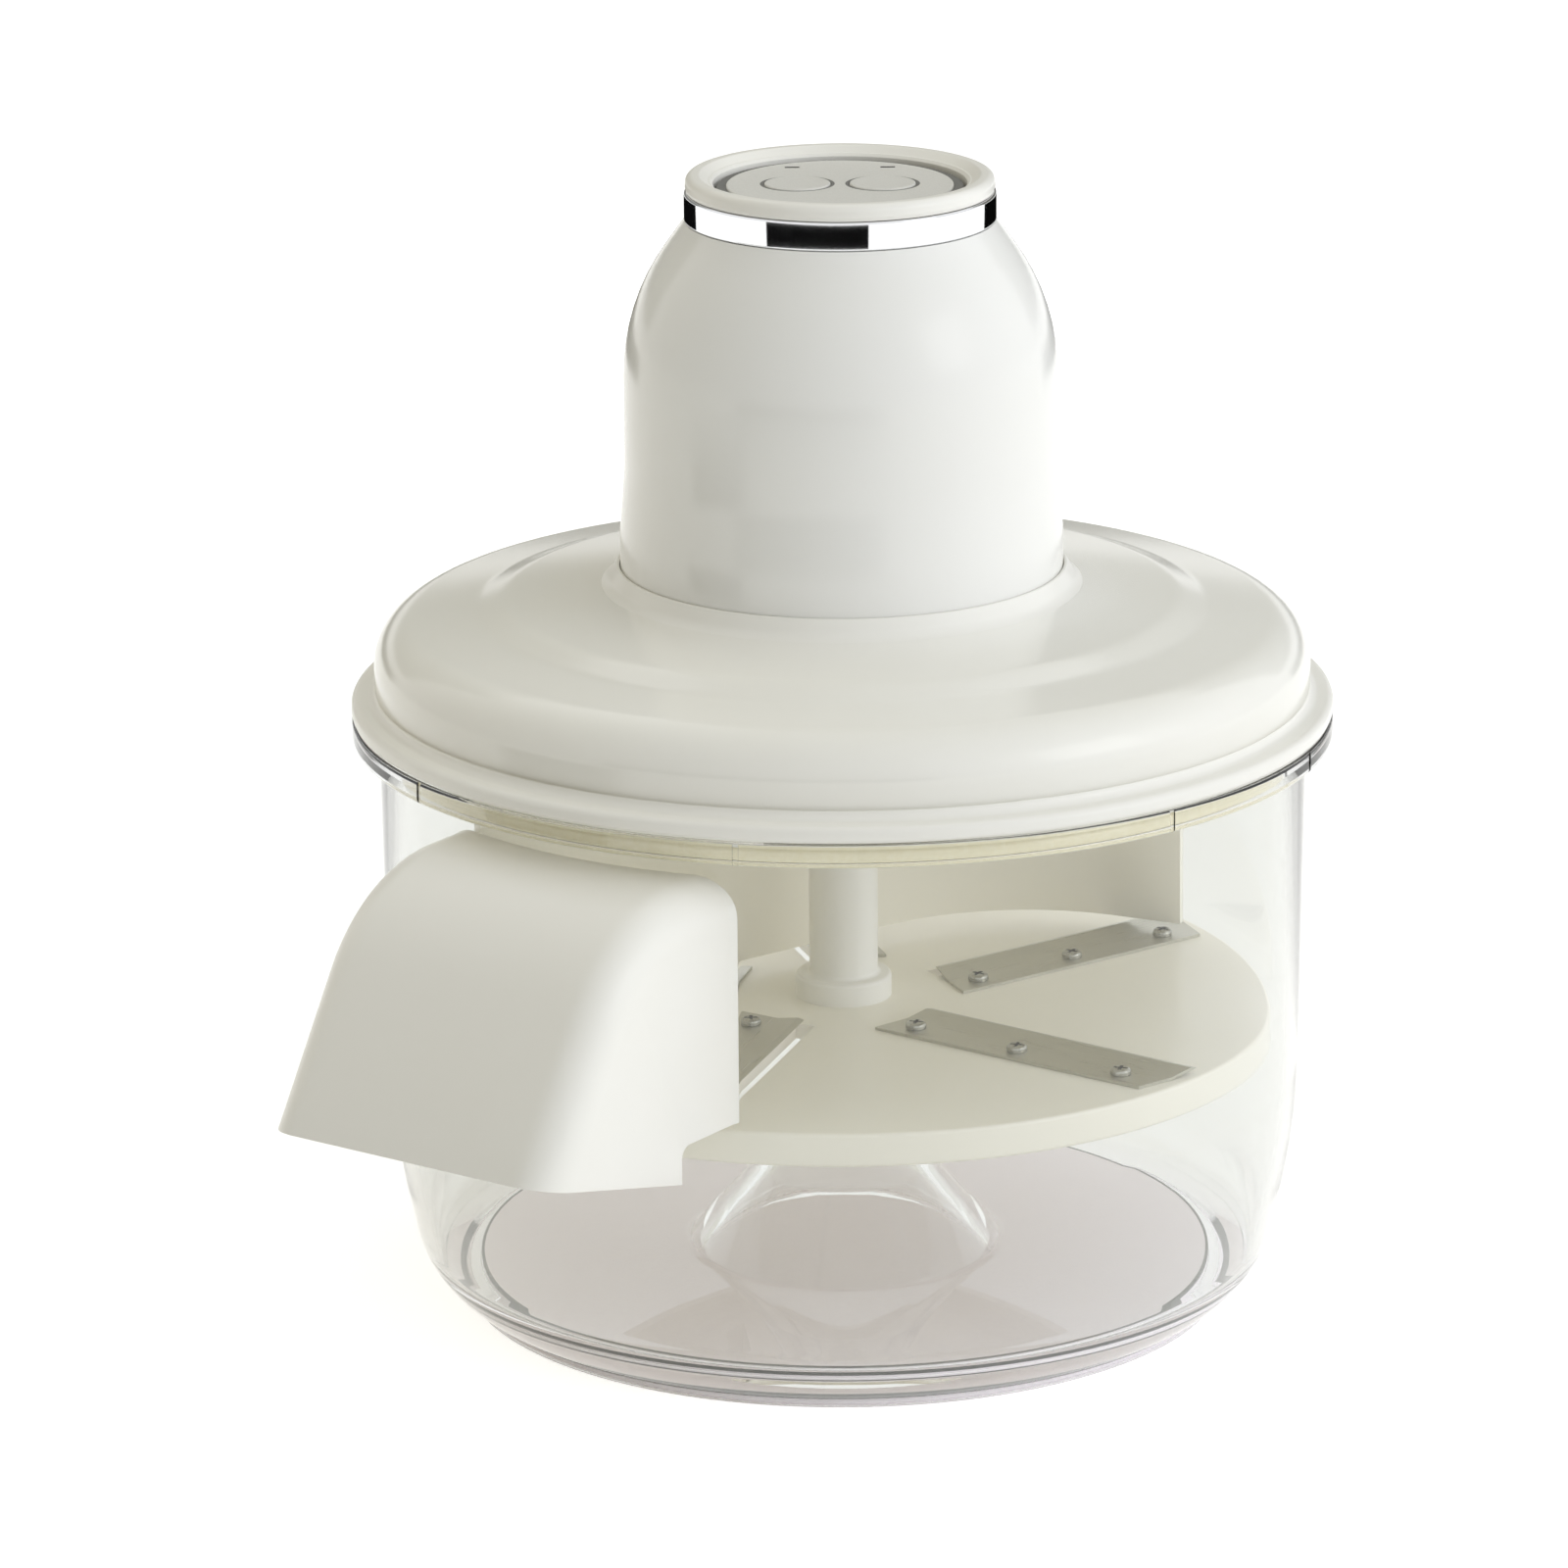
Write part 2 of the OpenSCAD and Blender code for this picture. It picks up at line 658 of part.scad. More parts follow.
// Guide wall: starts flat against the inside of the chute's left wall and ends behind the axis
guide_x = -chute_half + chute_wall + guide_t / 2;
guide_lap = 12;
guide_y = -(chute_rear + guide_lap);
guide_neck_top = chute_top - chute_edge_r - past;
guide_mid_heading = 90 - guide_turn_1;
guide_end_heading = guide_mid_heading - guide_turn_2;
guide_rise = guide_tail + guide_r_1 * sin(guide_turn_1)
    + guide_r_2 * (cos(guide_end_heading) - cos(guide_mid_heading)) + guide_end * sin(guide_end_heading);
guide_mid = (skirt_in_r - guide_back - guide_y - guide_rise) / sin(guide_mid_heading);
guide_path =
    let (a = [[guide_x, guide_y], 90])
    let (b = [[guide_x, guide_y + guide_tail], 90])
    let (bend_1 = arc_trail(b[0], b[1], guide_r_1, guide_turn_1))
    let (c = last(bend_1), d = [c[0] + guide_mid * along(c[1]), c[1]])
    let (bend_2 = arc_trail(d[0], d[1], guide_r_2, guide_turn_2))
    let (e = last(bend_2))
    concat([a, b], bend_1, [d], bend_2, [[e[0] + guide_end * along(e[1]), e[1]]]);
function beside(path, offset) = [for (p = path) p[0] + offset * along(p[1] + 90)];

module guide_wall() {
    color(ivory)
        difference() {
            translate([0, 0, sweep_z])
                linear_extrude(guide_top - sweep_z)
                    polygon(concat(
                        beside(guide_path, -guide_t / 2), reversed(beside(guide_path, guide_t / 2))
                    ));
            translate([0, 0, chute_floor - 2 * chute_wall])
                difference() {
                    rod(2 * bowl_r, 0, 2 * chute_wall + seat_fit);
                    translate([0, 0, -past])
                        cylinder(r = skirt_in_r - soft_r, h = 2 * chute_wall + 2 * past);
                }
            difference() {
                rod(2 * bowl_r, guide_neck_top, guide_top);
                rod(skirt_in_r - soft_r, guide_neck_top - past, guide_top);
            }
        }
}

// Peeling disc: a thin plate with a deep rim, a hub and a slot at every cutting edge
blade_angles = [for (i = [0:blade_count - 1]) blade_start + 360 * i / blade_count];
blade_back = -edge_back - blade_w;
blade_screw_places = [
    for (i = [0:blade_screw_count - 1])
        let (first = blade_in - blade_skew + blade_screw_end, span = blade_len - 2 * blade_screw_end)
        [first + span * i / (blade_screw_count - 1), blade_back + blade_screw_in]
];
module at_blade_screws() {
    for (a = blade_angles)
        rotate([0, 0, a])
            for (p = blade_screw_places)
                translate([p[0], p[1], disc_top])
                    children();
}

module blade_disc() {
    plate_z0 = disc_top - disc_plate_t;
    rim_z0 = disc_top - disc_rim_h;
    slot_end = disc_r - disc_rim_t - 2 * past;
    color(ivory)
        difference() {
            turned([
                [hub_bore_r, hub_z], [hub_d / 2, hub_z, edge_r], [hub_d / 2, plate_z0, soft_r],
                [disc_r - disc_rim_t, plate_z0, edge_r], [disc_r - disc_rim_t, rim_z0],
                [disc_r, rim_z0, edge_r], [disc_r, disc_top, edge_r], [hub_bore_r, disc_top]
            ]);
            for (a = blade_angles)
                rotate([0, 0, a])
                    translate([blade_in - past, -edge_back - slot_w / 2, plate_z0 - past])
                        cube([slot_end - blade_in, slot_w, disc_plate_t + 2 * past]);
            at_blade_screws()
                rod(screw_d / 2 + seat_fit / 2, -disc_plate_t - past, disc_plate_t + 2 * past);
        }
}

// Blade: a skewed strip whose free edge bends up and thins to the cutting edge
module blade(i) {
    bevel = 3;
    cutting_edge = 0.15;
    lift = blade_rise * (blade_w - bevel - blade_flat_w) / (blade_w - blade_flat_w);
    section = [
        [0, 0], [blade_flat_w, 0], [blade_w, blade_rise], [blade_w, blade_rise + cutting_edge],
        [blade_w - bevel, lift + blade_t], [blade_flat_w, blade_t], [0, blade_t]
    ];
    color(steel)
        rotate([0, 0, blade_angles[i]])
            difference() {
                intersection() {
                    translate([0, blade_back, disc_top])
                        rotate([90, 0, 90])
                            linear_extrude(disc_r)
                                polygon(section);
                    translate([0, 0, disc_top - past])
                        linear_extrude(blade_t + blade_rise + 2 * past)
                            polygon([
                                [blade_in - blade_skew, blade_back],
                                [blade_in - blade_skew + blade_len, blade_back],
                                [blade_in + blade_len, -edge_back], [blade_in, -edge_back]
                            ]);
                }
                for (p = blade_screw_places)
                    translate([p[0], p[1], disc_top])
                        rod(screw_d / 2 + seat_fit, -past, blade_t + 2 * past);
            }
}
module blade_1() { blade(0); }
module blade_2() { blade(1); }
module blade_3() { blade(2); }
module blade_4() { blade(3); }
module blade_5() { blade(4); }

module blade_screws() {
    color(steel)
        at_blade_screws()
            translate([0, 0, blade_t])
                pan_screw(screw_head_d, screw_head_h, screw_d, blade_t + disc_plate_t - past);
}

module drive_tube() {
    socket_z = tube_top - socket_depth;
    bore_r = dog_af / 2;
    color(ivory)
        difference() {
            turned([
                [0, disc_top - spigot_h], [hub_bore_r - seat_fit / 2, disc_top - spigot_h],
                [hub_bore_r - seat_fit / 2, disc_top], [tube_collar_d / 2, disc_top],
                [tube_collar_d / 2, disc_top + tube_collar_h, edge_r],
                [tube_r, disc_top + tube_collar_h, edge_r], [tube_r, tube_top, edge_r], [0, tube_top]
            ]);
            rod(bore_r, disc_top + tube_collar_h, tube_top);
            translate([0, 0, socket_z])
                cylinder(r = dog_r + dog_gap / cos(30), h = socket_depth + past, $fn = 6);
        }
}

module hub_bush() {
    color(bronze)
        turned([
            [pin_r + journal_fit, hub_z - bush_flange[1]],
            [hub_bore_r + bush_flange[0], hub_z - bush_flange[1], fine_r],
            [hub_bore_r + bush_flange[0], hub_z], [hub_bore_r - seat_fit / 2, hub_z],
            [hub_bore_r - seat_fit / 2, disc_top - spigot_h - seat_fit],
            [pin_r + journal_fit, disc_top - spigot_h - seat_fit]
        ]);
}

// Lid: the outline of its deck and domed side, at a depth below the outer surface
function deck_line(depth) = [
    for (i = [0, 1]) [lid_r - deck_step_in[i], deck_z - deck_step_drop[i] - depth, deck_step_r],
    [lid_r - depth, shoulder_z - depth, shoulder_r - depth]
];
cover_foot = lid_z + lip_h + cover_gap;
liner_depth = cover_t + cover_gap;
under_depth = liner_depth + liner_t;
side_draw = 0.5;
deck_in_r = collar_r + collar_fillet;

module lid_cover() {
    edge = deck_in_r + cover_gap;
    foot = lid_r - side_draw;
    color(clear)
        turned(concat(
            [[edge, deck_z]], deck_line(0), [[foot, cover_foot], [foot - cover_t, cover_foot]],
            reversed(deck_line(cover_t)), [[edge, deck_z - cover_t]]
        ));
}

module lid_liner() {
    side = lid_r - liner_depth - side_draw;
    groove_r = skirt_r - gasket_depth;
    color(ivory)
        turned(concat(
            [
                [seat_bore_r, seat_z], [collar_in_r, seat_z], [collar_in_r, collar_top, fine_r],
                [collar_r, collar_top, fine_r], [collar_r, deck_z, collar_fillet - fine_r],
                [deck_in_r, deck_z], [deck_in_r, deck_z - liner_depth]
            ],
            deck_line(liner_depth),
            [
                [side, lid_z + lip_h], [rim_r, lid_z + lip_h, lip_h * 0.4], [rim_r, lid_z, lip_h / 3],
                [skirt_r, lid_z],
                [skirt_r, gasket_z + gasket_h + seat_fit], [groove_r, gasket_z + gasket_h + seat_fit],
                [groove_r, gasket_z - seat_fit], [skirt_r, gasket_z - seat_fit],
                [skirt_r, lid_z - skirt_h, fine_r], [skirt_in_r, lid_z - skirt_h],
                [skirt_in_r, lid_z + lip_h / 2, edge_r], [side - liner_t, lid_z + lip_h, edge_r]
            ],
            reversed(deck_line(under_depth)),
            [[collar_r, seat_z - liner_t, soft_r], [seat_bore_r, seat_z - liner_t]]
        ));
}

module lid_gasket() {
    color(white)
        turned([
            [skirt_r - gasket_depth + seat_fit, gasket_z], [gasket_out_r, gasket_z, gasket_h / 3],
            [gasket_out_r, gasket_z + gasket_h, gasket_h / 3],
            [skirt_r - gasket_depth + seat_fit, gasket_z + gasket_h]
        ]);
}

// Motor head: a bell-shaped housing with a neck for the chrome band
crown_skin = head_wall / sin(crown_slope);
module inlet_shape(grow) {
    half = (inlet_size[0] - inlet_size[1]) / 2;
    union() {
        for (side = [-half, half])
            translate([side, 0])
                circle(r = inlet_size[1] / 2 + grow);
        square([2 * half, inlet_size[1] + 2 * grow], center = true);
    }
}
module at_inlet() {
    rotate([0, 0, panel_turn])
        translate([0, head_r - past / 2, foot_z + inlet_up])
            rotate([90, 0, 0])
                children();
}

module motor_housing() {
    color(white)
        difference() {
            union() {
                turned([
                    [head_in_r, foot_z], [head_r, foot_z, fine_r],
                    [head_r, foot_z + head_draw_z[0], head_draw_r],
                    [side_r, foot_z + head_draw_z[1], head_draw_r], [side_r, crown_corner_z, crown_r],
                    [band_r, band_z], [neck_r, band_z],
                    [neck_r, band_top], [neck_r - neck_t, band_top], [neck_r - neck_t, band_z - past],
                    [side_r - head_wall, crown_corner_z - head_wall / 2, crown_r - head_wall],
                    [side_r - head_wall, foot_z + head_draw_z[1], head_draw_r],
                    [head_in_r, foot_z + head_draw_z[0], head_draw_r]
                ]);
                ring_of(boss_angles, boss_at)
                    rod(boss_r, base_top + seat_fit, boss_top - base_top);
            }
            ring_of(boss_angles, boss_at)
                rod(base_screw_d / 2 + seat_fit / 2, base_top - past, boss_top - base_top - past);
            at_inlet()
                translate([0, 0, -2 * past])
                    linear_extrude(inlet_depth)
                        inlet_shape(seat_fit);
        }
}

module head_base() {
    color(ivory)
        difference() {
            union() {
                rod(base_r, foot_z, base_t);
                rod(spindle_r + bush_t + bush_seat_t, foot_z, lower_bush_h);
                ring_of(plate_post_angles, plate_post_at)
                    rod(plate_post_r, foot_z, plate_z - foot_z);
            }
            rod(spindle_r + bush_t + seat_fit / 2, foot_z - past, lower_bush_h + 2 * past);
            ring_of(plate_post_angles, plate_post_at)
                rod(base_screw_d / 2 + seat_fit / 2, plate_z - post_pilot, post_pilot + past);
            ring_of(boss_angles, boss_at) {
                rod(base_screw_d / 2 + seat_fit, foot_z - past, base_t + 2 * past);
                rod(base_screw_head_d / 2 + seat_fit, foot_z - past, base_screw_head_h + past);
            }
        }
}

module base_screws() {
    color(steel)
        ring_of(boss_angles, boss_at)
            translate([0, 0, foot_z + base_screw_head_h])
                mirror([0, 0, 1])
                    pan_screw(base_screw_head_d, base_screw_head_h - seat_fit, base_screw_d, base_screw_len);
}

module plate_screws() {
    color(steel)
        ring_of(plate_post_angles, plate_post_at)
            translate([0, 0, plate_top])
                pan_screw(base_screw_head_d, base_screw_head_h, base_screw_d, plate_screw_len);
}

module charge_inlet() {
    shell = 0.35;
    tongue_t = 0.7;
    color(steel)
        at_inlet() {
            difference() {
                linear_extrude(inlet_depth)
                    inlet_shape(0);
                translate([0, 0, -past])
                    linear_extrude(inlet_depth - past)
                        inlet_shape(-shell);
            }
            translate([0, 0, past])
                linear_extrude(inlet_depth - past)
                    square([inlet_size[0] - inlet_size[1] + past, tongue_t], center = true);
        }
}

module spindle_seal() {
    color(dark)
        tube(seat_bore_r - 2 * edge_r, spindle_r + seat_fit, foot_z - seal_h, seal_h);
}

module lower_bush() {
    color(bronze)
        tube(spindle_r + bush_t, spindle_r + journal_fit, foot_z, lower_bush_h);
}

module upper_bush() {
    color(bronze)
        tube(spindle_r + bush_t, spindle_r + journal_fit, plate_top - upper_bush_h, upper_bush_h);
}

module motor_plate() {
    color(steel)
        difference() {
            union() {
                rod(plate_r, plate_z, plate_t);
                rod(spindle_r + bush_t + bush_seat_t, plate_top - upper_bush_h, upper_bush_h);
            }
            rod(spindle_r + bush_t + seat_fit / 2, plate_z - upper_bush_h, 2 * upper_bush_h);
            translate([motor_x, 0, 0])
                rod(motor_boss[0] + seat_fit, plate_z - past, plate_t + 2 * past);
            ring_of(plate_post_angles, plate_post_at)
                rod(base_screw_d / 2 + seat_fit, plate_z - past, plate_t + 2 * past);
        }
}

module drive_motor() {
    color(steel)
        translate([motor_x, 0, plate_top])
            difference() {
                turned([
                    [0, -plate_t], [motor_boss[0], -plate_t], [motor_boss[0], 0], [motor_r, 0, edge_r],
                    [motor_r, motor_len, 2 * edge_r], [motor_boss[0], motor_len],
                    [motor_boss[0], motor_len + motor_boss[1], fine_r], [0, motor_len + motor_boss[1]]
                ]);
                rod(shaft_r + journal_fit, -plate_t - past, motor_len / 2);
            }
}

module cell(side) {
    cap_h = 1;
    color(cell_blue)
        translate([cell_place[0], side * cell_place[1], plate_top + run_gap])
            turned([
                [0, 0], [cell_d / 2, 0, edge_r], [cell_d / 2, cell_len - cap_h, edge_r],
                [cell_d / 6, cell_len - cap_h], [cell_d / 6, cell_len], [0, cell_len]
            ]);
}
module battery_1() { cell(-1); }
module battery_2() { cell(1); }

module chrome_band() {
    color(chrome)
        turned([
            [neck_r + seat_fit / 2, band_z + seat_fit], [band_r, band_z + seat_fit, fine_r],
            [band_r, band_top, fine_r], [neck_r + seat_fit / 2, band_top]
        ]);
}

module top_bezel() {
    outer = band_r - 0.3;
    well = bezel_in_r - 0.2;
    ledge = panel_r - panel_skirt_t - fine_r;
    color(ivory)
        turned([
            [ledge, panel_seat - seat_ring_t], [well, panel_seat - seat_ring_t], [well, board_top],
            [spigot_r, board_top], [spigot_r, bezel_z],
            [outer, bezel_z], [outer, bezel_top - bezel_h * 0.3, 1.5 * edge_r],
            [outer - bezel_w / 3, bezel_top, 2 * edge_r], [bezel_in_r + bezel_w / 4, bezel_top, edge_r],
            [bezel_in_r, bezel_top - bezel_h * 0.4, fine_r], [bezel_in_r, panel_seat], [ledge, panel_seat]
        ]);
}

module panel_gasket() {
    color(dark)
        tube(bezel_in_r - seat_fit, panel_r + seat_fit, panel_seat, panel_skirt_h - fine_r);
}

// Control panel: everything on it turns with the panel
module on_panel() {
    rotate([0, 0, panel_turn])
        children();
}
module at_button(side) {
    on_panel()
        translate([side * button_pitch / 2, 0, 0])
            children();
}
module led_bar(side, grow, z, h) {
    size = led_size + 2 * [grow, grow];
    on_panel()
        translate([side * led_x - size[0] / 2, led_y - size[1] / 2, z])
            cube([size[0], size[1], h]);
}

module control_panel() {
    color(panel_grey)
        difference() {
            turned([
                [0, panel_z], [panel_r - panel_skirt_t, panel_z], [panel_r - panel_skirt_t, panel_seat],
                [panel_r, panel_seat], [panel_r, panel_top, fine_r], [0, panel_top]
            ]);
            for (side = [-1, 1]) {
                at_button(side)
                    rod(button_r + button_gap, panel_z - past, panel_t + 2 * past);
                led_bar(side, seat_fit, panel_z - past, panel_t + 2 * past);
            }
        }
}

module led_windows() {
    color(clear)
        for (side = [-1, 1])
            led_bar(side, 0, board_top + seat_fit, panel_top - board_top - seat_fit);
}

module control_board() {
    color(board_green)
        difference() {
            rod(board_r, board_top - board_t, board_t);
            ring_of(boss_angles, board_screw_r)
                rod(board_screw[2] / 2 + seat_fit, board_top - board_t - past, board_t + 2 * past);
        }
}

module board_screws() {
    color(steel)
        ring_of(boss_angles, board_screw_r)
            translate([0, 0, board_top - board_t])
                mirror([0, 0, 1])
                    pan_screw(board_screw[0], board_screw[1], board_screw[2], board_t - seat_fit);
}

module tact_switches() {
    body = 6;
    stem_h = 0.8;
    stem_r = 1.7;
    color(dark)
        for (side = [-1, 1])
            at_button(side) {
                translate([-body / 2, -body / 2, board_top])
                    cube([body, body, switch_top - stem_h - board_top]);
                rod(stem_r, board_top, switch_top - board_top);
            }
}

module button(side) {
    top = panel_top + button_proud;
    foot = switch_top + button_travel + button_rest_gap;
    flange_r = button_r + button_flange[0];
    flange_top = button_flange_z + button_flange[1];
    color(panel_grey)
        at_button(side)
            turned([
                [0, foot], [button_plunger_r, foot], [button_plunger_r, button_flange_z],
                [flange_r, button_flange_z], [flange_r, flange_top], [button_r, flange_top],
                [button_r, top, fine_r], [0, top]
            ]);
}
module button_left() { button(-1); }
module button_right() { button(1); }

// Drive: the spindle's hexagonal dog reaches down into the drive tube
module drive_spindle() {
    shoulder = foot_z - seal_h - fine_r;
    dog_z = tube_top - socket_depth + soft_r;
    color(steel)
        union() {
            translate([0, 0, dog_z])
                cylinder(r = dog_r, h = shoulder - dog_z, $fn = 6);
            rod(spindle_r, shoulder, plate_top + past - shoulder);
        }
}

module output_gear() {
    tip = gear_r + 0.8 * gear_module;
    root = gear_r - 1.25 * gear_module;
    hub_r = spindle_r + bush_seat_t + past;
    web_drop = 2;
    color(white)
        difference() {
            translate([0, 0, gear_z])
                spur(gear_teeth, tip, root, gear_h);
            rod(spindle_r + seat_fit / 4, gear_z - past, gear_h + 2 * past);
            difference() {
                rod(root - soft_r, gear_z + gear_h - web_drop, web_drop + past);
                rod(hub_r, gear_z, 2 * gear_h);
            }
        }
}

module motor_shaft() {
    color(steel)
        translate([motor_x, 0, 0])
            rod(shaft_r, gear_z - past, plate_top + motor_len / 2 - plate_t - 3 * past - gear_z);
}

module motor_pinion() {
    pitch_r = gear_module * pinion_teeth / 2;
    color(bronze)
        translate([motor_x, 0, gear_z - past])
            difference() {
                rotate([0, 0, 180 / pinion_teeth])
                    spur(pinion_teeth, pitch_r + gear_module, pitch_r - 1.25 * gear_module, pinion_h);
                rod(shaft_r + seat_fit / 4, -past, pinion_h + 2 * past);
            }
}

bowl();
base_pad();
pivot_pin();
discharge_chute();
guide_wall();
blade_disc();
blade_1();
blade_2();
blade_3();
blade_4();
blade_5();
blade_screws();
drive_tube();
hub_bush();
lid_cover();
lid_liner();
lid_gasket();
motor_housing();
head_base();
base_screws();
charge_inlet();
spindle_seal();
lower_bush();
upper_bush();
motor_plate();
plate_screws();
drive_motor();
battery_1();
battery_2();
chrome_band();
top_bezel();
panel_gasket();
control_panel();
led_windows();
control_board();
board_screws();
tact_switches();
button_left();
button_right();
drive_spindle();
output_gear();
motor_shaft();
motor_pinion();
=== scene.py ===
"""Looks of an electric peeler for garlic and small fruit.

A clear bowl and lid cover, ivory mouldings, a disc with five steel blades and a motor head with two
push buttons. Sizes are millimetres in the frame of the solids, and turn to metres as a mesh is made.
"""

import logging
import math
from dataclasses import dataclass, field
from enum import Enum
from typing import Any, Sequence

import bpy
from mathutils import Matrix, Vector


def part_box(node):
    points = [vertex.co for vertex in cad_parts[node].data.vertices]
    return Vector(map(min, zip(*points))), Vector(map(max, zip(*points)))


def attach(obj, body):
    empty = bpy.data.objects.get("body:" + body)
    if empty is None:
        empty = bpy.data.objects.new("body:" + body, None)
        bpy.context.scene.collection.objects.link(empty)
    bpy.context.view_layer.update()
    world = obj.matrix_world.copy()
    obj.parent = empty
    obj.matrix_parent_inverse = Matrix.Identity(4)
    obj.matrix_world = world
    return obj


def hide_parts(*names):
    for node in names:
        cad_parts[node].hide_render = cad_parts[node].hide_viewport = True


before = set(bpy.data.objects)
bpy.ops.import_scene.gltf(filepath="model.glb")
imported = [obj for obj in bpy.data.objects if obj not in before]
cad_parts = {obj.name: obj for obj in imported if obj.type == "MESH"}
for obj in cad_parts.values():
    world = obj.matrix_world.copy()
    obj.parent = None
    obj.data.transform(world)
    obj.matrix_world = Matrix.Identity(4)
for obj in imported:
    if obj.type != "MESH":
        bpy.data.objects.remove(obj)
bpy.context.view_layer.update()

LOG = logging.getLogger("peeler")
# Metres in a millimetre
MM = 0.001
# Flats round a large turned piece, round the tube or a button, and round a screw head or a hole
TURN_STEPS, TUBE_STEPS, SMALL_STEPS = 160, 96, 64
# Stretches along a bend of the guide wall or along a studio card
BEND_STEPS = 24
# Degrees between the points of a rounded corner
ARC_STEP = 5.0
# Metres within which points are merged, along a path and after a turn
WELD, TURN_WELD = 1e-7, 1e-6
# Millimetres that a cutter reaches past what it cuts
PAST = 1.0
# Millimetres kept between pieces that touch, and between a piece and its seat
CLOSE, SEAT_GAP = 0.05, 0.1

Corner = tuple[float, ...]
Point = tuple[float, float]
Piece = bpy.types.Object
Tree = bpy.types.NodeTree
Socket = bpy.types.NodeSocket


class Side(Enum):
    """Where a button stands in its row, seen by the user."""

    LEFT = -1
    RIGHT = 1


def linear(colour: str) -> tuple[float, float, float, float]:
    """Turns an sRGB hex colour to linear light.

    Args:
        colour: six hex digits after a hash sign.

    Returns:
        Red, green, blue and a full alpha.
    """
    parts = [int(colour[i:i + 2], 16) / 255 for i in (1, 3, 5)]
    light = [c / 12.92 if c <= 0.04045 else ((c + 0.055) / 1.055) ** 2.4 for c in parts]
    return (light[0], light[1], light[2], 1.0)


def per_mm(size: float) -> float:
    """Gives the texture scale at which one feature is this many millimetres wide."""
    return 1.0 / (size * MM)


def foot_of(node: str) -> float:
    """Gives the height of a solid's lowest point in millimetres."""
    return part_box(node)[0][2] / MM


def top_of(node: str) -> float:
    """Gives the height of a solid's highest point in millimetres."""
    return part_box(node)[1][2] / MM


def rounded(corners: Sequence[Corner]) -> list[Point]:
    """Replaces every corner that has a radius by the chords of its arc.

    Args:
        corners: (across, up) or (across, up, radius) in millimetres, in order.

    Returns:
        The points of the outline in millimetres.
    """
    points: list[Point] = []
    count = len(corners)
    for i, corner in enumerate(corners):
        here = Vector(corner[:2])
        if len(corner) < 3:
            points.append((here.x, here.y))
            continue
        back = (Vector(corners[i - 1][:2]) - here).normalized()
        ahead = (Vector(corners[(i + 1) % count][:2]) - here).normalized()
        half = back.angle(ahead) / 2
        centre = here + (back + ahead).normalized() * (corner[2] / math.sin(half))
        first = here + back * (corner[2] / math.tan(half)) - centre
        turn = math.pi - 2 * half
        if first.cross(back) > 0:
            turn = -turn
        steps = max(3, math.ceil(abs(math.degrees(turn)) / ARC_STEP))
        for k in range(steps + 1):
            swung = centre + Matrix.Rotation(turn * k / steps, 2) @ first
            points.append((swung.x, swung.y))
    return points


def select_none() -> None:
    """Leaves edit mode and deselects every object."""
    if bpy.context.object and bpy.context.object.mode != "OBJECT":
        bpy.ops.object.mode_set(mode="OBJECT")
    bpy.ops.object.select_all(action="DESELECT")


def take(piece: Piece) -> None:
    """Makes a piece the only selected and the active object.

    Args:
        piece: the object.
    """
    select_none()
    piece.select_set(True)
    bpy.context.view_layer.objects.active = piece


def draw(name: str, path: Sequence[Vector], closed: bool = True) -> Piece:
    """Extrudes one vertex along a path and leaves the wire selected in edit mode.

    Args:
        name: name of the new object.
        path: points in metres.
        closed: whether the wire comes back to its first point.

    Returns:
        The new object.
    """
    select_none()
    bpy.ops.mesh.primitive_plane_add(size=MM, location=path[0])
    piece = bpy.context.object
    piece.name = piece.data.name = name
    bpy.ops.object.mode_set(mode="EDIT")
    bpy.ops.mesh.select_mode(type="VERT")
    bpy.ops.mesh.merge(type="CENTER")
    stops = [*path, path[0]] if closed else list(path)
    for here, there in zip(stops, stops[1:]):
        bpy.ops.mesh.extrude_vertices_move(TRANSFORM_OT_translate={"value": there - here})
    bpy.ops.mesh.select_all(action="SELECT")
    bpy.ops.mesh.remove_doubles(threshold=WELD)
    return piece


def settle(piece: Piece) -> Piece:
    """Puts a piece's place into its mesh, so that its object sits at the origin.

    Args:
        piece: the object.

    Returns:
        The same piece.
    """
    take(piece)
    bpy.ops.object.transform_apply(location=True, rotation=True, scale=True)
    return piece


def face_out(piece: Piece) -> Piece:
    """Points the faces of the closed mesh in edit mode outwards and settles the piece.

    Args:
        piece: the object, in edit mode.

    Returns:
        The same piece, in object mode.
    """
    bpy.ops.mesh.select_all(action="SELECT")
    bpy.ops.mesh.normals_make_consistent(inside=False)
    return settle(piece)


def lathe(
    name: str, corners: Sequence[Corner], steps: int = TURN_STEPS, centre: Point = (0.0, 0.0)
) -> Piece:
    """Spins a closed outline into a solid of revolution.

    Args:
        name: name of the new object.
        corners: (radius, height) or (radius, height, corner radius) in millimetres.
        steps: flats round the turn.
        centre: where the axis stands, in millimetres.

    Returns:
        The new piece.
    """
    x, y = centre
    path = [Vector((x + r, y, z)) * MM for r, z in rounded(corners)]
    piece = draw(name, path, closed=corners[0][0] > 0 or corners[-1][0] > 0)
    bpy.ops.mesh.spin(steps=steps, angle=math.tau, center=Vector((x, y, 0)) * MM, axis=(0, 0, 1))
    bpy.ops.mesh.select_all(action="SELECT")
    bpy.ops.mesh.remove_doubles(threshold=TURN_WELD)
    return face_out(piece)


